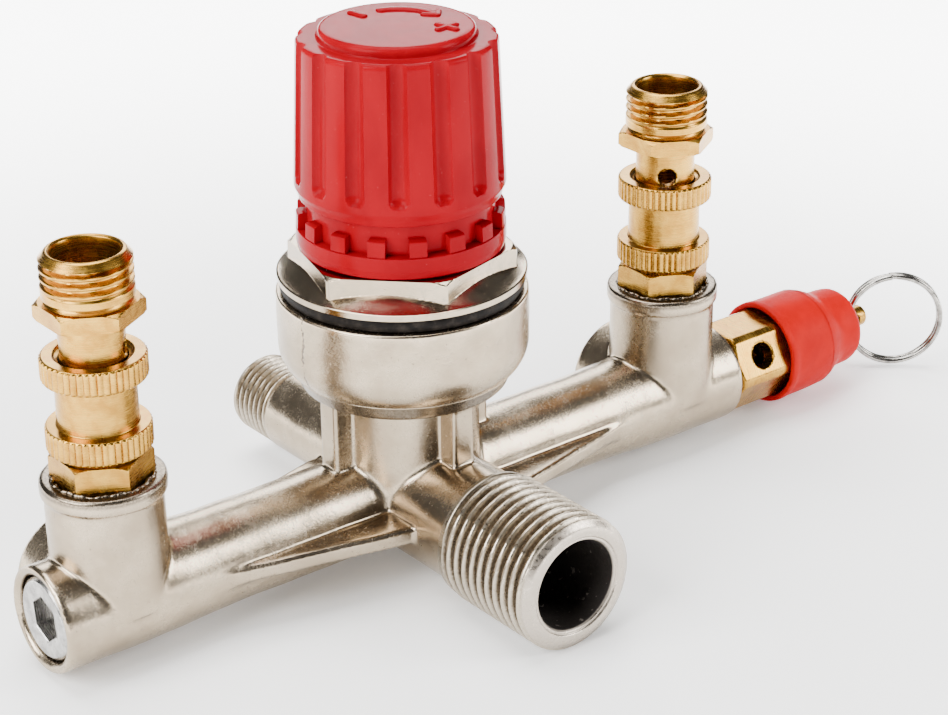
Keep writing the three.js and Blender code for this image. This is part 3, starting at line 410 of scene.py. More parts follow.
def bowl_cut(r, z, angle):
    """A casting is never quite round: a slow wave round the wall, and a slower one up it."""
    wave = 0.05 * np.sin(2 * angle + 0.4) + 0.03 * np.sin(5 * angle + z * 0.4)
    wave += 0.015 * np.sin(17 * angle - z)
    return r + np.where(r > 15, wave, 0)


bowl = lathe("bowl_wall", bowl_profile, around(360), carve=bowl_cut, closed=True, sharp=30)
print("bowl", round(2 * BOWL_RADIUS, 1), "across")

# %% [markdown]
# The two pipe ends are threaded on a lathe after casting: a half-inch thread in front and a quarter-inch one
# behind. Each is a turned blank with a helical groove, a chamfer to start the nut, a flat land and a bore.

# %% Threaded pipe ends
CREST_HALF = 10.48
CREST_QUARTER = 6.58
PITCH_HALF = 1.814
PITCH_QUARTER = 1.337
BORE_FRONT = 7.1
BORE_BACK = 4.6


def pipe_end(name, axis, at, crest, tube, bore, shoulder, end, pitch, deep, land):
    """A threaded pipe end about Z, from inside the casting to its flat land and down its bore."""
    rows = np.arange(shoulder - 0.6, end - 0.9, pitch / 11)
    wall = straight(crest, rows)
    start = outline((0, shoulder - 6), (tube - 1.5, shoulder - 6), (tube - 0.25, shoulder - 0.8))
    nose = outline(
        (crest, end - 0.9), (crest - 0.35, end - 0.75, 0.15), (land, end - 0.12, 0.3), (land - 0.6, end, 0.2),
        (bore + 0.8, end - 0.02, 0.12), (bore + 0.6, end - 0.3, 0.1), (bore + 0.3, end - 0.22, 0.12),
        (bore, end - 0.6), step=0.5,
    )
    inside = outline((bore, end - 1.2), (bore, deep + 0.6, 0.5), (0, deep), step=2.5)
    profile = np.concatenate([start, wall, nose, inside])

    def carve(r, z, angle):
        on = (r >= crest - 1e-3) & (z < end)
        cut = thread_cut(z, angle, pitch, shoulder - 0.4, end - 1.9, 1.6)
        grow = 0.3 * (1 - ease((z - shoulder) / 1.2))
        return np.where(on, r - cut - grow, r)

    return lathe(name, profile, around(168), at, axis, carve)


front_end = pipe_end(
    "front_thread", "-y", (0, 0, 0), CREST_HALF, FRONT_TUBE, BORE_FRONT,
    FRONT_SHOULDER, FRONT_END, PITCH_HALF, 12.2, 9.3
)
back_end = pipe_end(
    "back_thread", "y", (0, 0, BACK_RISE), CREST_QUARTER, BACK_TUBE, BORE_BACK,
    BACK_SHOULDER, BACK_END, PITCH_QUARTER, 22, 5.6
)
print("front thread has", round((FRONT_END - FRONT_SHOULDER) / PITCH_HALF, 1), "turns")

# %% [markdown]
# The bonnet screws into the bowl. It is a cast nut: a thin round flange that slopes up to a hexagon, whose
# corners are cut by a cone. Where the slope meets a flat, the edge is a curve, because the radius there is
# the larger of the cone and the hexagon.

# %% Bonnet and its gasket
HEX_TURN = math.radians(14.7)
HEX_FLATS = 30.5
HEX_TOP = span("lock_ring")[0][2] - 0.3
FLANGE_LOW = span("bonnet_gasket")[1][2] - 0.22
FLANGE_RADIUS = 19.0
HEX_CORNER_CUT = 17.45


def bonnet_cut(r, z, angle):
    """The larger of the sloping flange and the hexagon at each height; a cone cuts the top corners."""
    flange = FLANGE_RADIUS - 3.9 * np.clip((z - FLANGE_LOW - 0.9) / 1.7, 0, 1) ** 0.85
    cone = HEX_CORNER_CUT - 1.6 * np.maximum(z - HEX_TOP + 0.5, 0)
    nut = np.minimum(hex_radius(angle, HEX_FLATS, HEX_TURN), cone)
    wall = np.where(z < FLANGE_LOW + 0.9, FLANGE_RADIUS, np.maximum(flange, nut))
    return np.where(r > 18, wall, np.minimum(r, nut * 0.985))


rise = np.arange(FLANGE_LOW + 0.15, HEX_TOP + 0.01, 0.07)
bonnet_profile = np.concatenate([
    outline((13.5, FLANGE_LOW - 1.2), (17.1, FLANGE_LOW - 1.2), (17.1, FLANGE_LOW), (18.85, FLANGE_LOW)),
    straight(FLANGE_RADIUS, rise),
    outline(
        (17.2, HEX_TOP + 0.02), (13.0, HEX_TOP + 0.02), (12.0, HEX_TOP), (12, FLANGE_LOW - 1.2), step=1.5
    ),
])
bonnet = lathe("bonnet_nut", bonnet_profile, around(360, HEX_TURN), carve=bonnet_cut, closed=True, sharp=24)
gasket_low, gasket_high = span("bonnet_gasket")[0][2], FLANGE_LOW - 0.02
gasket_profile = outline(
    (17.3, gasket_low), (18.3, gasket_low, 0.3), (18.75, (gasket_low + gasket_high) / 2, 0.6),
    (18.35, gasket_high, 0.3), (17.3, gasket_high), step=0.4,
)


def gasket_cut(r, z, angle):
    """Rubber squeezes out unevenly, so the outer edge waves a little."""
    return r + np.where(r > 17.5, 0.05 * np.sin(3 * angle) + 0.03 * np.sin(11 * angle + z), 0)


gasket = lathe("gasket", gasket_profile, around(180), closed=True, carve=gasket_cut)
print("bonnet hexagon", HEX_FLATS, "across flats")

# %% [markdown]
# The knob is an injection-moulded cup with fifteen round flutes. They run out through the top rim and end in
# rounded scoops above the hem. A raised disc on top carries a minus, a plus and a bent arrow. Each mark is a
# flattened bar that is half sunk in the disc, because a mould's engraved mark has round edges too.

# %% Knob
FLUTES = 15
KNOB_LOW, KNOB_TOP = span("knob")[0][2], span("knob")[1][2]
SHOULDER = KNOB_TOP - 1.55
FLUTE_TURN = math.radians(-90 - 13.2)
flute_step = 2 * np.pi / FLUTES
KNOB_WALL = 15.95
KNOB_TAPER = 1.15
FLUTE_PLACE = 15.4
FLUTE_DEPTH = 1.1
FLUTE_HALF = 1.5
FLUTE_FOOT = 54.1


def knob_cut(r, z, angle):
    """The lesser of the knob's radius and the flutes: round scoops that fade out at the bottom end."""
    off = ((angle - FLUTE_TURN + flute_step / 2) % flute_step - flute_step / 2) * FLUTE_PLACE
    end = np.maximum(FLUTE_FOOT - z, 0) / 1.6
    depth = FLUTE_DEPTH * np.clip(1 - (off / FLUTE_HALF) ** 2 - end**2, 0, 1) ** 0.7
    wall = KNOB_WALL - KNOB_TAPER * (z - KNOB_LOW) / (KNOB_TOP - KNOB_LOW)
    return np.minimum(r, np.where(z > KNOB_LOW + 2, wall - depth, r))


knob_profile = outline(
    (12.9, KNOB_LOW + 3), (14.45, KNOB_LOW + 3), (14.5, KNOB_LOW, 0.2), (15.25, KNOB_LOW, 0.3),
    (15.45, KNOB_LOW + 0.9, 0.3), (16.0, KNOB_LOW + 2.1, 0.5), (14.85, SHOULDER, 0.8),
    (11.75, SHOULDER - 0.1, 0.3), (11.5, KNOB_TOP - 0.1, 0.85), (0, KNOB_TOP), step=0.33,
)
roof = SHOULDER - 1.0
inside = outline((0, roof), (12.0, roof, 0.6), (12.9, KNOB_LOW + 12), (12.9, KNOB_LOW + 3), step=3)
knob = lathe("knob_cup", knob_profile, around(450, FLUTE_TURN), carve=knob_cut, sharp=32)
knob_lining = lathe("knob_inside", inside, around(90))


def swept(path, radius, up=(0, 0, 1), sides=12, flat=1.0, closed=False):
    """A bar swept along a path with round ends, its section flattened by a factor along one direction."""
    path = np.asarray(path, float)
    ahead = np.gradient(path, axis=0)
    if closed:
        ahead = np.roll(path, -1, axis=0) - np.roll(path, 1, axis=0)
    ahead /= np.linalg.norm(ahead, axis=1)[:, None]
    up = np.array(up, float)
    side = np.cross(ahead, up)
    side /= np.linalg.norm(side, axis=1)[:, None]
    lift = np.cross(side, ahead)
    size = np.full(len(path), float(radius))
    if not closed:
        quarter = np.linspace(0, np.pi / 2, 5)
        cap = np.sin(quarter)
        first = path[0] - ahead[0] * radius * np.cos(quarter)[:, None]
        last = (path[-1] + ahead[-1] * radius * np.cos(quarter)[:, None])[::-1]
        path = np.concatenate([first[:-1], path, last[1:]])
        side, lift = (np.pad(v, ((4, 4), (0, 0)), "edge") for v in (side, lift))
        size = np.concatenate([cap[:-1] * radius, size, (cap[:-1] * radius)[::-1]])
    angle = around(sides)[None, :, None]
    ring = np.cos(angle) * side[:, None] + flat * np.sin(angle) * lift[:, None]
    return skin(path[:, None] + size[:, None, None] * ring, closed)


def joined(name, parts, sharp=38):
    """Several closed surfaces as one object."""
    every, faces_of, count = [], [], 0
    for part_points, part_faces in parts:
        every.append(part_points)
        faces_of += [[i + count for i in face] for face in part_faces]
        count += len(part_points)
    return piece(name, np.concatenate(every), faces_of, sharp)


def bar_mark(start, end, radius):
    """A raised stroke between two places on the knob's top."""
    t = np.linspace(0, 1, 8)[:, None]
    flat_path = np.array(start) * (1 - t) + np.array(end) * t
    path = np.concatenate([flat_path, np.full((8, 1), MARK_TOP)], 1)
    return swept(path, radius, flat=0.5)


MARK_TOP = KNOB_TOP - 0.02
arrow_angle = np.radians(np.linspace(72, 0, 30))
arrow_path = np.stack([7.0 * np.cos(arrow_angle), 7.0 * np.sin(arrow_angle), np.full(30, MARK_TOP)], 1)
tip = arrow_path[-1, :2]
marks = joined("knob_marks", [
    bar_mark((-1.9, 8.5), (-1.6, 6.0), 0.7),
    swept(arrow_path, 0.85, flat=0.4),
    bar_mark(tip + (0.0, -0.5), tip + (-1.3, 0.9), 0.6),
    bar_mark(tip + (0.0, -0.5), tip + (1.3, 0.9), 0.6),
    bar_mark((4.3, -4.3), (4.9, -7.6), 0.65),
    bar_mark((2.9, -6.2), (6.2, -5.8), 0.65),
])
print("knob", round(KNOB_TOP - KNOB_LOW, 1), "high")

# %% [markdown]
# The lock ring is a moulded collar with sixteen square teeth that the knob can drop over. The teeth have
# upright sides, so the grid has two columns close together at every side and the radius steps between them.

# %% Lock ring
RING_LOW = span("lock_ring")[0][2]
TEETH = 16
TOOTH_TURN = math.radians(-90 - 5.2)
TOOTH_HALF = 4.8
BAND_RADIUS = 14.28
TOOTH_FOOT = RING_LOW + 3.31
tooth_step = 2 * np.pi / TEETH


def ring_cut(r, z, angle):
    """The rim's radius, cut back to the band between the teeth."""
    off = np.abs((angle - TOOTH_TURN + tooth_step / 2) % tooth_step - tooth_step / 2)
    tooth = off < math.radians(TOOTH_HALF)
    above = (z > TOOTH_FOOT) & (z < RING_LOW + 6.2) & (r > 14.4)
    return np.where(above & ~tooth, BAND_RADIUS, r)


tooth_sides = np.concatenate([
    TOOTH_TURN + i * tooth_step + np.radians([-11.2, -9, -7, -4.83, -4.77, -2.5, 0, 2.5, 4.77, 4.83, 7, 9])
    for i in range(TEETH)
])
lock_profile = outline(
    (12.7, RING_LOW), (15.6, RING_LOW, 0.2), (15.85, RING_LOW + 1.2, 0.2), (15.8, RING_LOW + 3.25, 0.1),
    (15.62, RING_LOW + 3.3), (15.62, RING_LOW + 3.36), (15.8, RING_LOW + 3.5), (15.7, RING_LOW + 5.75, 0.15),
    (15.0, RING_LOW + 5.95, 0.1), (BAND_RADIUS, RING_LOW + 5.95), (14.2, KNOB_LOW + 0.4, 0.2),
    (12.7, KNOB_LOW + 0.4), (12.7, RING_LOW), step=0.6,
)
lock_ring = lathe("lock_collar", lock_profile[:-1], tooth_sides, carve=ring_cut, closed=True, sharp=25)
print("lock ring", len(tooth_sides), "columns")

# %% [markdown]
# The plug is a turned steel screw plug with a hexagon socket. The wide chamfer round its face is bright,
# because it is the last face turned; the socket is broached, so its walls are flat and its floor is rough.

# %% End plug
PLUG_FACE = -span("end_plug")[0][0]
SOCKET_FLATS = 6.0
SOCKET_TURN = math.radians(8)
plug_profile = outline(
    (0, PLUG_FACE - 6.6), (6.2, PLUG_FACE - 6.6), (6.35, PLUG_FACE - 0.55, 0.15), (5.75, PLUG_FACE, 0.15),
    (4.05, PLUG_FACE - 0.05, 0.1), (3.2, PLUG_FACE - 0.35), (3.15, PLUG_FACE - 4.4, 0.1),
    (0, PLUG_FACE - 5.0), step=0.5,
)


def plug_cut(r, z, angle):
    """The socket's walls follow a hexagon; the rest of the plug stays round."""
    socket = (r < 3.9) & (z > PLUG_FACE - 5.1)
    across = hex_radius(angle, SOCKET_FLATS, SOCKET_TURN)
    return np.where(socket, np.minimum(r / 3.15, 1.06) * across, r)


plug = lathe("socket_plug", plug_profile, around(180, SOCKET_TURN), axis="-x", carve=plug_cut, sharp=24)
print("plug face at", round(PLUG_FACE, 1))

# %% [markdown]
# A shut-off valve is four turned brass pieces: a foot screwed into the boss, a tube with two cross holes, a
# knurled sleeve that slides over the holes, and a head with a hexagon and a quarter-inch thread. The tube is
# made from a distance field, because its cross hole breaks out of a round wall; the rest are lathe work.

# %% Shut-off valves
FOOT_TOP = span("right_valve_foot")[1][2]
HEAD_TOP = span("right_valve_tube")[1][2]
SLEEVE_LOW, SLEEVE_HIGH = span("right_sleeve")[0][2], span("right_sleeve")[1][2]
HEX_LOW = 44.45
VENT_HEIGHT = BOSS_TOP + 20.1
KNURLS = 46
KNURL_DEPTH = 0.3
SLEEVE_RADIUS = 7.62
SLEEVE_BORE = 5.0
FOOT_FLATS = 13.0
HEAD_FLATS = 13.6
TUBE_RADIUS = 4.75
TUBE_BORE = 3.0
VENT_RADIUS = 1.5
HEX_BLANK = 9.0
HEX_CORNER = math.radians(-90)


def foot(name, x):
    """The foot: a hexagon coned on both sides, over a short round neck."""
    low, high = BOSS_TOP - 0.5, FOOT_TOP
    rows = np.arange(low, high + 0.01, 0.1)
    profile = np.concatenate([
        outline((4.9, 12), (6.0, 12), (6.45, low - 0.8), (6.2, low), step=1.5),
        straight(HEX_BLANK, rows),
        outline((6.3, high), (4.9, high), (4.9, 12), step=1.5)[:-1],
    ])

    def carve(r, z, angle):
        cone = 6.75 + 1.6 * np.minimum(z - low, high - z)
        return np.where(r > 8, np.minimum(hex_radius(angle, FOOT_FLATS, HEX_CORNER), cone), r)

    return lathe(name, profile, around(192, HEX_CORNER), (x, 0, 0), carve=carve, closed=True, sharp=24)


def tube(name, x, turn):
    """The tube with its cross hole."""
    across = np.array([math.cos(turn), math.sin(turn)])

    def field(p):
        radial = np.hypot(p[..., 0], p[..., 1])
        along = -p[..., 0] * across[1] + p[..., 1] * across[0]
        wall = bevel(radial - TUBE_RADIUS, np.abs(p[..., 2] - 35) - 11, 0.1)
        hole = np.hypot(along, p[..., 2] - VENT_HEIGHT) - VENT_RADIUS
        bore = bevel(radial - TUBE_BORE, 34 - p[..., 2], 0.1)
        return bevel(wall, -np.minimum(hole, bore), 0.18)

    return carved(name, field, (-5.2, -5.2, 23.4), (5.2, 5.2, 46.6), 0.24, (x, 0, 0))


def head(name, x):
    """The head: hexagon, relief groove, thread, chamfer and an open bore."""
    high = HEX_LOW + 2.5
    hex_rows = np.arange(HEX_LOW, high + 0.01, 0.1)
    thread_rows = np.arange(high + 0.95, HEAD_TOP - 1.15, PITCH_QUARTER / 11)
    profile = np.concatenate([
        outline((4.6, HEX_LOW), (6.2, HEX_LOW), step=1), straight(HEX_BLANK, hex_rows),
        outline((6.25, high + 0.02), (6.0, high + 0.25, 0.15), (5.75, high + 0.7), step=0.4),
        straight(CREST_QUARTER, thread_rows),
        outline(
            (6.55, HEAD_TOP - 1.1, 0.1), (5.65, HEAD_TOP - 0.1, 0.2), (5.25, HEAD_TOP, 0.1),
            (4.9, HEAD_TOP - 0.3, 0.1), (4.75, HEAD_TOP - 0.9), (4.75, high - 0.3, 0.2), (3.0, high - 0.5),
            (3.0, HEX_LOW), step=1.2,
        ),
    ])

    def carve(r, z, angle):
        cone = 7.05 + 1.7 * np.minimum(z - HEX_LOW + 0.25, high - z)
        edge = np.minimum(hex_radius(angle, HEAD_FLATS, HEX_CORNER), cone)
        cut = thread_cut(z, angle, PITCH_QUARTER, high + 1.9, HEAD_TOP - 1.1, 1.0)
        return np.where(r > 8, edge, np.where(np.abs(r - CREST_QUARTER) < 1e-6, r - cut, r))

    return lathe(name, profile, around(192, HEX_CORNER), (x, 0, 0), carve=carve, closed=True, sharp=24)


def sleeve(name, x):
    """The sliding sleeve: a knurled flange at each end, a waist, and grooves inside for two rubber rings."""
    low, high, outer, bore = SLEEVE_LOW, SLEEVE_HIGH, SLEEVE_RADIUS, SLEEVE_BORE
    grooves = []
    for place in (high - 1.85, low + 1.85):
        grooves += [(bore, place + 0.9), (6.3, place + 0.9), (6.3, place - 0.9), (bore, place - 0.9)]
    profile = outline(
        (bore, low), (7.3, low, 0.1), (outer, low + 0.3, 0.1), (outer, low + 3.4, 0.1),
        (7.35, low + 3.7, 0.1), (5.85, low + 3.7, 0.2), (5.77, high - 3.6, 0.2), (7.35, high - 3.6, 0.1),
        (outer, high - 3.3, 0.1), (outer, high - 0.3, 0.1), (7.25, high, 0.15), (5.75, high, 0.15),
        (5.45, high - 0.35, 0.1), (bore, high - 0.6), *grooves, (bore, low), step=0.5,
    )[:-1]

    def carve(r, z, angle):
        ridge = np.abs(np.sin(angle * KNURLS / 2 + 0.4 * np.sin(angle * 3))) ** 0.8
        return np.where(r > 7.45, r - KNURL_DEPTH * (1 - ridge), r)

    return lathe(name, profile, around(KNURLS * 8), (x, 0, 0), carve=carve, closed=True, sharp=50)


def burr(name, x, start):
    """Plating that the foot's thread pushed up: a wandering, ragged wire round the boss's mouth."""
    t = around(150)
    ragged = np.sin(7 * t + start) + np.sin(17 * t - 2 * start) + np.sin(41 * t + 3 * start)
    radius = 7.35 + 0.1 * ragged
    height = BOSS_TOP - 0.12 + 0.07 * np.roll(ragged, 11)
    path = np.stack([x + radius * np.cos(t), radius * np.sin(t), height], 1)
    return joined(name, [swept(path, 0.3, sides=8, closed=True)], 60)


VENT_TURN = {"left": math.radians(-38), "right": math.radians(-128)}
valves = {}
for side, sign in (("left", -1), ("right", 1)):
    x = sign * BOSS_PLACE
    valves[side] = {
        "foot": foot(f"{side}_foot", x),
        "tube": tube(f"{side}_tube", x, VENT_TURN[side]),
        "head": head(f"{side}_head", x),
        "sleeve": sleeve(f"{side}_knurled_sleeve", x),
        "burr": burr(f"{side}_plating_burr", x, sign),
    }
print("valves at", round(BOSS_PLACE, 1), "either side")

# %% [markdown]
# The safety valve lies along the bar. Its brass body is a hexagonal bar with a cross hole that shows the
# seal holder inside; a soft dipped cap covers the spring, and a stem with a split ring comes out of it.

# %% Safety valve
STEM_TIP = span("safety_stem")[1][0]
CAP_START, CAP_END = span("safety_cap")[0][0], span("safety_cap")[1][0]
HEX_START = BAR_HALF + 0.6
LIFT = math.radians(27)
SAFETY_HALF = 7.0
CHAMBER_RADIUS = 4.4
WINDOW_RADIUS = 2.3
STEM_RADIUS = 1.9
HOLDER_RADIUS = 3.95
EYE_RADIUS = 1.3


def safety_field(p):
    """Distance to the safety valve's body: hexagon with coned ends, a cross hole and a chamber."""
    along = p[..., 0]
    radial = np.hypot(p[..., 1], p[..., 2])
    angle = np.arctan2(p[..., 2], -p[..., 1]) - LIFT
    across = (angle + np.pi / 6) % (np.pi / 3) - np.pi / 6
    bar = bevel(radial * np.cos(across) - SAFETY_HALF, radial - 7.75, 0.1)
    cone = radial - SAFETY_HALF - 1.6 * (along - HEX_START)
    for end in (HEX_START - along, cone, along - HEX_START - 13):
        bar = bevel(bar, end, 0.15)
    bar = np.minimum(bar, bevel(radial - 6.3, np.abs(along - BAR_HALF + 2.5) - 4, 0.2))
    chamber = bevel(radial - CHAMBER_RADIUS, BAR_HALF - 1 - along, 0.1)
    sideways = p[..., 1] * math.sin(LIFT) + p[..., 2] * math.cos(LIFT)
    hole = np.hypot(along - BAR_HALF - 6.3, sideways) - WINDOW_RADIUS
    hole = bevel(hole, -1.0 - (-p[..., 1] * math.cos(LIFT) + p[..., 2] * math.sin(LIFT)), 0.1)
    return bevel(bar, -np.minimum(chamber, hole), 0.2)


safety_body = carved("safety_hexagon", safety_field, (BAR_HALF - 7.5, -9, -9), (HEX_START + 14, 9, 9), 0.25)

cap_length = CAP_END - CAP_START
cap_profile = outline(
    (7.9, 8), (8.0, 0.4), (8.15, 0, 0.3), (8.95, 0, 0.35), (9.05, 0.9, 0.4), (8.88, 1.8, 0.5),
    (8.7, 10.1, 1.2), (8.2, 11.6, 1.5), (6.95, 13.9, 1.2), (6.9, cap_length - 1.3, 0.9),
    (5.3, cap_length, 1.2), (2.35, cap_length + 0.05, 0.5), (2.15, cap_length - 1.2), (2.2, cap_length - 2),
    step=0.6,
)


def cap_cut(r, z, angle):
    """Dipping leaves a soft, slightly uneven wall and lip."""
    uneven = 0.05 * np.sin(2 * angle + z * 0.3) + 0.035 * np.sin(5 * angle - z * 0.5)
    return r + uneven + 0.02 * np.sin(9 * angle + z)


cap_inner = outline((2.2, cap_length - 2), (5.7, cap_length - 2.1, 0.4), (5.9, 12), (7.9, 8), step=1.5)
cap_whole = np.concatenate([cap_profile, cap_inner[1:-1]])
cap = lathe("dipped_cap", cap_whole, around(160), (CAP_START, 0, 0), "x", cap_cut, True, 45)


RING_HOLE = STEM_TIP - 3
RING_ANGLE = math.radians(-37.5)


def stem_field(p):
    """Distance to the stem: the seal's holder, the rod and the cross hole for the ring."""
    radial = np.hypot(p[..., 1], p[..., 2])
    rod = bevel(radial - STEM_RADIUS, np.abs(p[..., 0] - BAR_HALF - 21) - (STEM_TIP - BAR_HALF - 21), 0.5)
    holder = bevel(radial - HOLDER_RADIUS, np.abs(p[..., 0] - BAR_HALF - 3.2) - 2.6, 0.3)
    through = np.hypot(p[..., 0] - RING_HOLE, p[..., 2]) - EYE_RADIUS
    return bevel(np.minimum(rod, holder), -through, 0.12)


stem_box = (BAR_HALF - 0.5, -4.6, -4.6), (STEM_TIP + 0.8, 4.6, 4.6)
stem = carved("safety_pull_stem", stem_field, *stem_box, 0.24)
print("safety valve", round(STEM_TIP - BAR_HALF, 1), "long")

# %% [markdown]
# The split ring is two turns of hard wire lying against each other. The path turns twice round a circle and
# steps sideways over a short stretch, so the wire's cut ends face each other across a small gap.

# %% Split ring
RING_RADIUS = 8.24
WIRE = 0.5
turns = np.linspace(0, 4 * np.pi, 361)
gap_at = math.radians(97)
sidestep = (2 * WIRE + 0.03) * (ease((turns - 2 * np.pi + 0.35) / 0.7) - 0.5)
ring_local = np.stack([
    RING_RADIUS + RING_RADIUS * np.cos(turns + gap_at), sidestep, RING_RADIUS * np.sin(turns + gap_at)
], 1)
cosine, sine = math.cos(RING_ANGLE), math.sin(RING_ANGLE)
swing = np.array([[cosine, -sine, 0], [sine, cosine, 0], [0, 0, 1]])
ring_axis = swing @ np.array([0, 1.0, 0])
ring_path = ring_local @ swing.T + (RING_HOLE, 0, 0)
split_ring = joined("split_ring", [swept(ring_path, WIRE, ring_axis, 12)])
print("split ring", round(2 * (RING_RADIUS + WIRE), 1), "across")

# %% [markdown]
# Finishes are made of shader maths. A small class wraps a socket so that sums are written as sums, and a
# second one makes nodes: settings first, then inputs, in one call.


# %% Shader tools
class Wire:
    """A shader socket that can be used in arithmetic."""

    def __init__(self, finish, socket):
        self.finish, self.socket = finish, socket

    def maths(self, operation, *values):
        """One sum or other operation on sockets and numbers."""
        return self.finish.node("ShaderNodeMath", {"operation": operation}, dict(enumerate(values)))

    def __add__(self, other):
        return self.maths("ADD", self, other)

    def __sub__(self, other):
        return self.maths("SUBTRACT", self, other)

    def __mul__(self, other):
        return self.maths("MULTIPLY", self, other)

    def __rsub__(self, other):
        return self.maths("SUBTRACT", other, self)

    __radd__ = __add__

    def abs(self):
        return self.maths("ABSOLUTE", self)

    def power(self, other):
        return self.maths("POWER", self, other)

    def ramp(self, low, high):
        """0 at the low value, 1 at the high one and smooth between."""
        return self.finish.node(
            "ShaderNodeMapRange", {"interpolation_type": "SMOOTHSTEP"},
            {"Value": self, 1: low, 2: high, 3: 0.0, 4: 1.0},
        )


class Finish:
    """One material and the nodes in it."""

    def __init__(self, name):
        self.material = bpy.data.materials.new(name)
        self.material.use_nodes = True
        self.tree = self.material.node_tree
        self.shader = self.tree.nodes["Principled BSDF"]
        self.place = self.node("ShaderNodeTexCoord", {}, {}, "Object")

    def node(self, kind, settings, inputs, output=0):
        """A new node with its settings and inputs; gives one of its outputs."""
        made = self.tree.nodes.new(kind)
        for key, value in settings.items():
            setattr(made, key, value)
        for key, value in inputs.items():
            self.feed(made.inputs[key], value)
        return Wire(self, made.outputs[output])

    def feed(self, socket, value):
        """Links a wire to a socket, or sets the socket to a constant."""
        if isinstance(value, Wire):
            self.tree.links.new(value.socket, socket)
        elif isinstance(value, tuple) and socket.type == "RGBA":
            socket.default_value = (*value, 1.0)
        else:
            socket.default_value = value

    def shade(self, **inputs):
        """Feeds the shader's inputs and gives the finished material."""
        for key, value in inputs.items():
            self.feed(self.shader.inputs[key.replace("_", " ")], value)
        return self.material

    def noise(self, size, detail=3.0, rough=0.5, warp=0.0):
        """Noise in object coordinates; the size is its waves per millimetre, one for all axes or three."""
        waves = tuple((np.broadcast_to(size, 3) / MM).tolist())
        place = self.node("ShaderNodeVectorMath", {"operation": "MULTIPLY"}, {0: self.place, 1: waves})
        return self.node(
            "ShaderNodeTexNoise", {},
            {"Vector": place, "Scale": 1.0, "Detail": detail, "Roughness": rough, "Distortion": warp},
        )

    def blend(self, low, high, factor):
        """A colour between two, by a factor from 0 to 1."""
        return self.node("ShaderNodeMix", {"data_type": "RGBA"}, {0: factor, 6: low, 7: high}, 2)

    def bump(self, height, strength=0.3, distance=0.1):
        """A bumpy normal; the height is in units of the distance, which is in millimetres."""
        return self.node(
            "ShaderNodeBump", {}, {"Height": height, "Strength": strength, "Distance": distance * MM}
        )

    def axis(self, origin):
        """The three distances from a point given in millimetres about the crossing of the axes."""
        moved = self.node(
            "ShaderNodeVectorMath", {"operation": "SUBTRACT"},
            {0: self.place, 1: tuple(ORIGIN + np.array(origin) * MM)},
        )
        parts = self.tree.nodes.new("ShaderNodeSeparateXYZ")
        self.feed(parts.inputs[0], moved)
        return [Wire(self, parts.outputs[i]) * (1 / MM) for i in range(3)]


def reach(a, b):
    """The distance of a point from an axis, from its two parts."""
    return (a * a + b * b).power(0.5)


print("shader tools ready")

# %% [markdown]
# Die-cast zinc under thin nickel: warm grey, fairly bright, with a skin that still shows the die. Broad soft
# patches differ in gloss, small pits and grains catch the light, and the bowl's parting line is a ragged
# seam.

# %% Nickel-plated casting


def nickel(name, machined=False):
    """The plated casting; the machined version is smoother and its bumps have no sand."""
    m = Finish(name)
    x, y, z = m.axis((0, 0, 0))
    broad = m.noise(0.11, 4.0, 0.6)
    middle_patch = m.noise(0.75, 5.0, 0.65, warp=0.4)
    fine = m.noise(2.6, 5.0, 0.65)
    grain = m.noise(6.0, 3.0, 0.6)
    sand = middle_patch.ramp(0.5, 0.72)
    pit_noise = m.noise(1.7, 2.0, 0.5)
    pits = pit_noise.ramp(0.72, 0.78)
    tone = m.blend((0.35, 0.278, 0.195), (0.47, 0.385, 0.28), broad.ramp(0.3, 0.7))
    tone = m.blend(tone, (0.31, 0.26, 0.20), sand * 0.25)
    tone = m.blend(tone, (0.16, 0.13, 0.10), pits * 0.7)
    if machined:
        height = fine * 0.25 + grain * 0.15 - pits * 0.6
        rough = 0.10 + fine.ramp(0.3, 0.7) * 0.08
        return m.shade(
            Base_Color=m.blend(tone, (0.30, 0.25, 0.19), middle_patch.ramp(0.5, 0.75) * 0.45), Metallic=1.0,
            Roughness=rough, Normal=m.bump(height, 0.5, 0.08),
        )
    # Painted shade: the short undercut below the bowl's crease is darkened, where the shade under the bowl
    # falls.
    painted_shade_under_bowl = z.ramp(18.5, 19.1) * (1.0 - z.ramp(21.35, 21.7)) * reach(x, y).ramp(14.9, 15.5)
    tone = m.blend(tone, (0.10, 0.08, 0.06), painted_shade_under_bowl * (0.6 + fine.ramp(0.3, 0.7) * 0.3))
    seam_wave = m.noise(0.9, 3.0, 0.6) - 0.5
    seam = 1.0 - (y + seam_wave * 1.6 + 1.0).abs().ramp(0.05, 0.34)
    seam = seam * x.ramp(-17.0, -18.5) * z.ramp(19.5, 21.0) * m.noise(0.6, 2.0).ramp(0.38, 0.5)
    tone = m.blend(tone, (0.07, 0.055, 0.045), seam * 0.8)
    height = broad * 1.2 + middle_patch * 0.2 + fine * (0.3 + sand * 0.15) + grain * (0.2 + sand * 0.2)
    height = height - pits * 0.9 - seam * 2.0
    rough = 0.19 + broad.ramp(0.3, 0.7) * 0.07 + sand * 0.05 + fine.ramp(0.35, 0.75) * 0.06
    return m.shade(Base_Color=tone, Metallic=1.0, Roughness=rough, Normal=m.bump(height, 0.35, 0.1))


CAST = nickel("cast_nickel")
TURNED_NICKEL = nickel("machined_nickel", True)


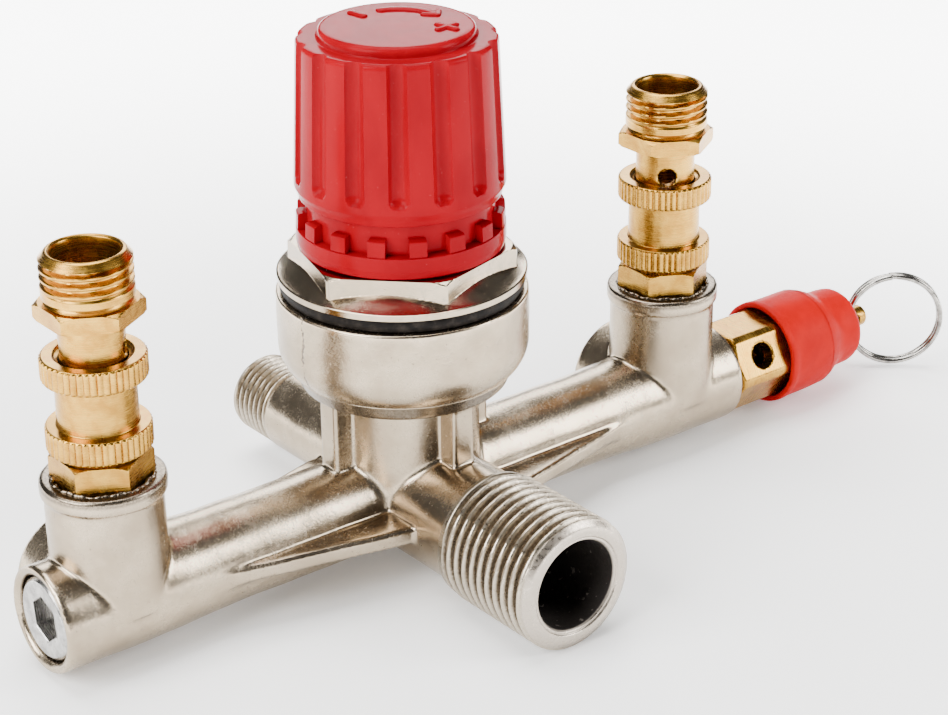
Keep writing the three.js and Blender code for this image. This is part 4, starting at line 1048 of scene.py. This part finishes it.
def threaded_end(name, rise, crest, bore, end):
    """Plated thread: painted shade darkens the grooves, the land is bright, and the bore is painted dark as
    the shade inside it.
    """
    m = Finish(name)
    x, y, z = m.axis((0, 0, rise))
    radius = reach(x, z)
    grit = m.noise(1.6, 4.0, 0.65)
    specks = m.noise(1.15, 2.0, 0.5).ramp(0.66, 0.72)
    # Painted shade: the thread grooves darken towards their roots, more in some places than others.
    deep = 1.0 - radius.ramp(crest - 0.62, crest - 0.04)
    tone = m.blend((0.46, 0.40, 0.315), (0.075, 0.055, 0.035), deep * (0.7 + grit.ramp(0.35, 0.7) * 0.3))
    tone = m.blend(tone, (0.16, 0.12, 0.08), grit.ramp(0.58, 0.72) * 0.4)
    outer = (y.abs() - end + 0.9).ramp(0.0, 0.3)
    tone = m.blend(tone, (0.56, 0.49, 0.41), outer * 0.8)
    # Painted shade: the bore is painted near black for the shade inside it, with paler specks.
    inside = 1.0 - radius.ramp(bore - 0.02, bore + 0.22)
    tone = m.blend(tone, m.blend((0.018, 0.014, 0.012), (0.25, 0.22, 0.19), specks * 0.7), inside)
    rough = 0.24 + grit.ramp(0.3, 0.7) * 0.16 + inside * 0.25
    height = grit * 0.8 + specks * 1.5 * inside
    metal = 1.0 - inside * 0.7
    return m.shade(Base_Color=tone, Metallic=metal, Roughness=rough, Normal=m.bump(height, 0.4, 0.12))


FRONT_THREAD = threaded_end("front_thread_nickel", 0, CREST_HALF, BORE_FRONT, FRONT_END)
BACK_THREAD = threaded_end("back_thread_nickel", BACK_RISE, CREST_QUARTER, BORE_BACK, BACK_END)
print("nickel finishes ready")

# %% [markdown]
# Bright-drawn brass: the lathe leaves fine rings square to the axis, so the noise is stretched round the
# piece by using the height alone with a little of the other directions. Stains and dark specks lie over them.

# %% Brass


def brass(name, axis, gloss=0.0):
    """Turned brass with rings square to one axis."""
    m = Finish(name)
    fine = [0.12, 0.12, 0.12]
    fine[axis] = 9.0
    rings = m.noise(fine, 3.0, 0.6)
    coarse = [0.25, 0.25, 0.25]
    coarse[axis] = 2.2
    bands = m.noise(coarse, 2.0, 0.5)
    stain = m.noise(0.35, 4.0, 0.62, warp=0.5)
    speck = m.noise(2.4, 2.0, 0.5).ramp(0.7, 0.76)
    tone = m.blend((0.34, 0.165, 0.024), (0.50, 0.285, 0.05), stain.ramp(0.3, 0.72))
    tone = m.blend(tone, (0.30, 0.16, 0.03), bands.ramp(0.5, 0.78) * 0.35)
    tone = m.blend(tone, (0.22, 0.12, 0.05), speck * 0.5)
    rough = 0.2 + rings.ramp(0.3, 0.7) * 0.1 + stain.ramp(0.4, 0.75) * 0.07 - gloss
    height = rings * 0.6 + bands * 0.4 - speck * 0.6 + stain * 0.3
    return m.shade(Base_Color=tone, Metallic=1.0, Roughness=rough, Normal=m.bump(height, 0.35, 0.05))


BRASS_UPRIGHT = brass("turned_brass_upright", 2)
BRASS_ALONG = brass("turned_brass_along", 0)
print("brass ready")

# %% [markdown]
# The red plastic is glossy from a polished mould, with slight flow waves and a few dust specks. The cap is
# soft dipped vinyl: brighter, more orange and satin. The rubber is nearly black, with paler grime in patches.

# %% Plastics and rubber


def red_plastic():
    """Glossy red: two close reds by slow flow, and pale dust."""
    m = Finish("moulded_red_plastic")
    flow = m.noise((0.16, 0.16, 0.07), 3.0, 0.5, warp=0.8)
    peel = m.noise(1.3, 2.0, 0.5)
    dust = m.noise(3.1, 2.0, 0.5).ramp(0.735, 0.76)
    tone = m.blend((0.18, 0.0002, 0.004), (0.22, 0.0003, 0.005), flow.ramp(0.3, 0.7))
    tone = m.blend(tone, (0.5, 0.12, 0.12), dust * 0.3)
    height = flow * 0.8 + peel * 0.25 + dust * 0.4
    return m.shade(
        Base_Color=tone, Roughness=0.12 + peel.ramp(0.3, 0.7) * 0.07, Specular_IOR_Level=0.025,
        Normal=m.bump(height, 0.25, 0.08),
    )


def red_vinyl():
    """Satin red: two close reds in clouds, and dark flecks."""
    m = Finish("dipped_red_vinyl")
    cloud = m.noise(0.25, 4.0, 0.6)
    fine = m.noise(2.2, 3.0, 0.55)
    fleck = m.noise(1.4, 2.0, 0.5).ramp(0.72, 0.76)
    tone = m.blend((0.37, 0.0012, 0.001), (0.44, 0.002, 0.0015), cloud.ramp(0.3, 0.7))
    tone = m.blend(tone, (0.2, 0.004, 0.004), fleck * 0.4)
    return m.shade(
        Base_Color=tone, Roughness=0.38 + fine.ramp(0.3, 0.7) * 0.1, Specular_IOR_Level=0.04,
        Normal=m.bump(cloud * 0.8 + fine * 0.35, 0.35, 0.1),
    )


def rubber():
    """Near black, paler and rougher where grime lies."""
    m = Finish("black_rubber")
    grime = m.noise(0.8, 4.0, 0.6)
    tone = m.blend((0.006, 0.005, 0.0045), (0.022, 0.018, 0.015), grime.ramp(0.4, 0.75))
    return m.shade(
        Base_Color=tone, Roughness=0.45 + grime.ramp(0.3, 0.7) * 0.2, Specular_IOR_Level=0.06,
        Normal=m.bump(grime * 0.8, 0.4, 0.08),
    )


RED_PLASTIC, RED_VINYL, RUBBER = red_plastic(), red_vinyl(), rubber()
print("plastics and rubber ready")

# %% [markdown]
# The steels differ in age: the plug is stained, the split ring is dark drawn wire, and the hidden screw,
# plate, washer and springs are clean. One recipe makes them all, with turning marks square to an axis.


# %% Steels
def steel(name, dark, light, rough, axis, mark):
    """Steel with turning or drawing marks square to an axis."""
    m = Finish(name)
    stretch = [0.4, 0.4, 0.4]
    stretch[axis] = 7.0
    rings = m.noise(stretch, 3.0, 0.6)
    stain = m.noise(0.6, 4.0, 0.6)
    tone = m.blend(dark, light, stain.ramp(0.3, 0.7))
    return m.shade(
        Base_Color=tone, Metallic=1.0, Roughness=rough + rings.ramp(0.3, 0.7) * 0.12,
        Normal=m.bump(rings * mark + stain * 0.5, 0.35, 0.05),
    )


PLUG_STEEL = steel("plug_steel_finish", (0.28, 0.27, 0.26), (0.52, 0.51, 0.49), 0.2, 0, 0.8)
RING_STEEL = steel("ring_steel_finish", (0.17, 0.16, 0.145), (0.44, 0.42, 0.385), 0.14, 2, 0.3)
ZINC_STEEL = steel("zinc_steel_finish", (0.50, 0.50, 0.50), (0.72, 0.72, 0.70), 0.25, 2, 0.6)
SPRING_STEEL = steel("spring_steel_finish", (0.30, 0.30, 0.31), (0.50, 0.50, 0.51), 0.28, 2, 0.3)
print("finishes:", len(bpy.data.materials))

# %% [markdown]
# Each piece is fastened to the body that carries it, takes its place from the part it stands for, and gets
# its finish. Pieces that stay hidden inside keep their plain shapes and only get a finish.


# %% Fastening pieces to bodies
def fasten(made, body, slot, finish, *nodes):
    """Rides on a body, takes a finish, and hides the given nodes that it stands in for."""
    made.data.materials.clear()
    made.data.materials.append(finish)
    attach(made, body)
    if nodes:
        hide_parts(*nodes)


fasten(body_cast, "manifold", "nickel_casting", CAST, "manifold_body")
fasten(bowl, "manifold", "nickel_casting", CAST)
fasten(front_end, "manifold", "nickel_casting", FRONT_THREAD)
fasten(back_end, "manifold", "nickel_casting", BACK_THREAD)
fasten(bonnet, "manifold", "nickel_casting", TURNED_NICKEL, "bonnet")
fasten(gasket, "manifold", "black_rubber", RUBBER, "bonnet_gasket")
fasten(lock_ring, "manifold", "red_plastic", RED_PLASTIC, "lock_ring")
fasten(knob, "knob", "red_plastic", RED_PLASTIC, "knob")
fasten(knob_lining, "knob", "red_plastic", RED_PLASTIC)
fasten(marks, "knob", "red_plastic", RED_PLASTIC)
fasten(plug, "manifold", "plug_steel", PLUG_STEEL, "end_plug")
for side, made in valves.items():
    fasten(made["foot"], "manifold", "brass", BRASS_UPRIGHT, f"{side}_valve_foot")
    fasten(made["tube"], "manifold", "brass", BRASS_UPRIGHT, f"{side}_valve_tube")
    fasten(made["head"], "manifold", "brass", BRASS_UPRIGHT)
    fasten(made["burr"], "manifold", "nickel_casting", CAST)
    fasten(made["sleeve"], f"{side}_sleeve", "brass", BRASS_UPRIGHT, f"{side}_sleeve")
fasten(safety_body, "manifold", "brass", BRASS_ALONG, "safety_body")
fasten(stem, "safety_stem", "brass", BRASS_ALONG, "safety_stem")
fasten(cap, "manifold", "red_vinyl", RED_VINYL, "safety_cap")
fasten(split_ring, "pull_ring", "ring_steel", RING_STEEL, "pull_ring")

SEALS = [f"{side}_sleeve_{end}_seal" for side in valves for end in ("lower", "upper")]
HIDDEN = {
    BRASS_UPRIGHT: ["seat_insert", "poppet", "diaphragm_hub", "spring_nut"],
    BRASS_ALONG: ["safety_retainer"],
    RUBBER: ["poppet_seal", "diaphragm", "safety_seal", *SEALS],
    SPRING_STEEL: ["poppet_spring", "main_spring", "safety_spring"],
    ZINC_STEEL: ["diaphragm_plate", "adjusting_screw", "thrust_washer"],
}
for finish, nodes in HIDDEN.items():
    for node in nodes:
        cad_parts[node].data.materials.clear()
        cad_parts[node].data.materials.append(finish)
print("hidden pieces with a finish:", sum(map(len, HIDDEN.values())))

# %% [markdown]
# The floor is a plain pale sheet that glows as a light table does; near the object its glow is dimmed, a
# painted shadow round it. The manifold stands on its front thread and its two gauge bosses, so the floor is
# tilted a little to touch all three.

# %% Floor
FLOOR_HALF = 4000.0
GLOW_FROM, GLOW_TO = 60.0, 270.0
FLOOR_SLOPE = (CREST_HALF - GAUGE_RADIUS) / (GAUGE_REACH + FRONT_END - 1.5)


def floor_finish():
    """Pale and matt; its glow is dimmed near the object as a painted shadow and rises smoothly with the
    distance from it.
    """
    m = Finish("pale_sheet")
    tooth = m.noise(0.05, 3.0, 0.5)
    tone = m.blend((0.94, 0.94, 0.935), (0.965, 0.965, 0.96), tooth)
    x, y = m.axis((0, 0, 0))[:2]
    # Painted shadow: the floor's glow is nearly off near the object and rises to full away from it.
    glow_with_painted_shadow = m.blend((0.03, 0.03, 0.03), (0.98, 0.98, 0.98), reach(x, y).ramp(GLOW_FROM, GLOW_TO))
    return m.shade(
        Base_Color=tone, Roughness=0.6, Specular_IOR_Level=0.1, Emission_Color=glow_with_painted_shadow, Emission_Strength=5.6,
        Normal=m.bump(tooth, 0.02, 0.1),
    )


ground = np.array([[-1, -1], [1, -1], [1, 1], [-1, 1]]) * FLOOR_HALF
heights = -CREST_HALF - 0.02 + FLOOR_SLOPE * (ground[:, 1] + FRONT_END - 1)
floor = piece("floor_sheet", np.column_stack([ground, heights]), [[0, 1, 2, 3]])
floor.data.materials.append(floor_finish())
print("floor slope", round(math.degrees(math.atan(FLOOR_SLOPE)), 2), "degrees")

# %% [markdown]
# The light is a dim tent with four soft boxes in it. Polished metal shows what is around it, so the boxes are
# large, and the dimmer stretches between them give the darker bands.


# %% Light and camera
def soft_box(name, place, target, size, power):
    """A rectangular soft light at a place in metres about the object, facing a target."""
    data = bpy.data.lights.new(name, "AREA")
    data.shape = "RECTANGLE"
    data.size, data.size_y = size
    data.energy = power
    lamp = bpy.data.objects.new(name, data)
    toward = Vector(target) - Vector(place)
    lamp.location = ORIGIN + np.array(place)
    lamp.rotation_mode = "QUATERNION"
    lamp.rotation_quaternion = toward.normalized().to_track_quat("-Z", "Y")
    bpy.context.collection.objects.link(lamp)
    return lamp


AZIMUTH, ELEVATION, ROLL = math.radians(-38.304), math.radians(25.0763), math.radians(-0.5324)
AIM_HEIGHT, AIM_SIDE, DISTANCE, FOCAL_LENGTH = 21.8437, 10.7529, 383.402, 94.66
back = np.array([
    math.sin(AZIMUTH) * math.cos(ELEVATION), -math.cos(AZIMUTH) * math.cos(ELEVATION), math.sin(ELEVATION)
])
level = np.cross(-back, [0, 0, 1])
level /= np.linalg.norm(level)
upright = np.cross(level, -back)
right = math.cos(ROLL) * level + math.sin(ROLL) * upright
up = -math.sin(ROLL) * level + math.cos(ROLL) * upright
eye = ORIGIN + (np.array([0, 0, AIM_HEIGHT]) + AIM_SIDE * level + DISTANCE * back) * MM

scene = bpy.context.scene
lens = bpy.data.cameras.new("camera")
lens.lens = FOCAL_LENGTH
lens.sensor_width = 36.0
lens.clip_start, lens.clip_end = 0.02, 20
camera = bpy.data.objects.new("camera", lens)
matrix = np.eye(4)
matrix[:3, 0], matrix[:3, 1], matrix[:3, 2], matrix[:3, 3] = right, up, back, eye
camera.matrix_world = Matrix(matrix.tolist())
bpy.context.collection.objects.link(camera)
scene.camera = camera

soft_box("key", (-0.85, 0.0, 0.6), (0, 0, 0.02), (0.7, 0.6), 24)
soft_box("fill", (0.75, -0.75, 0.5), (0, 0, 0.02), (0.45, 0.6), 13)
soft_box("top", (0.0, 0.2, 1.0), (0, 0, 0), (0.9, 0.7), 21)
soft_box("rear", (0.62, 0.80, 0.52), (0, 0, 0.03), (0.8, 0.4), 8)

world = bpy.data.worlds.new("tent")
scene.world = world
world.use_nodes = True
world.node_tree.nodes["Background"].inputs[0].default_value = (1, 1, 1, 1)
world.node_tree.nodes["Background"].inputs[1].default_value = 0.12
print("camera at", np.round((eye - ORIGIN) / MM))
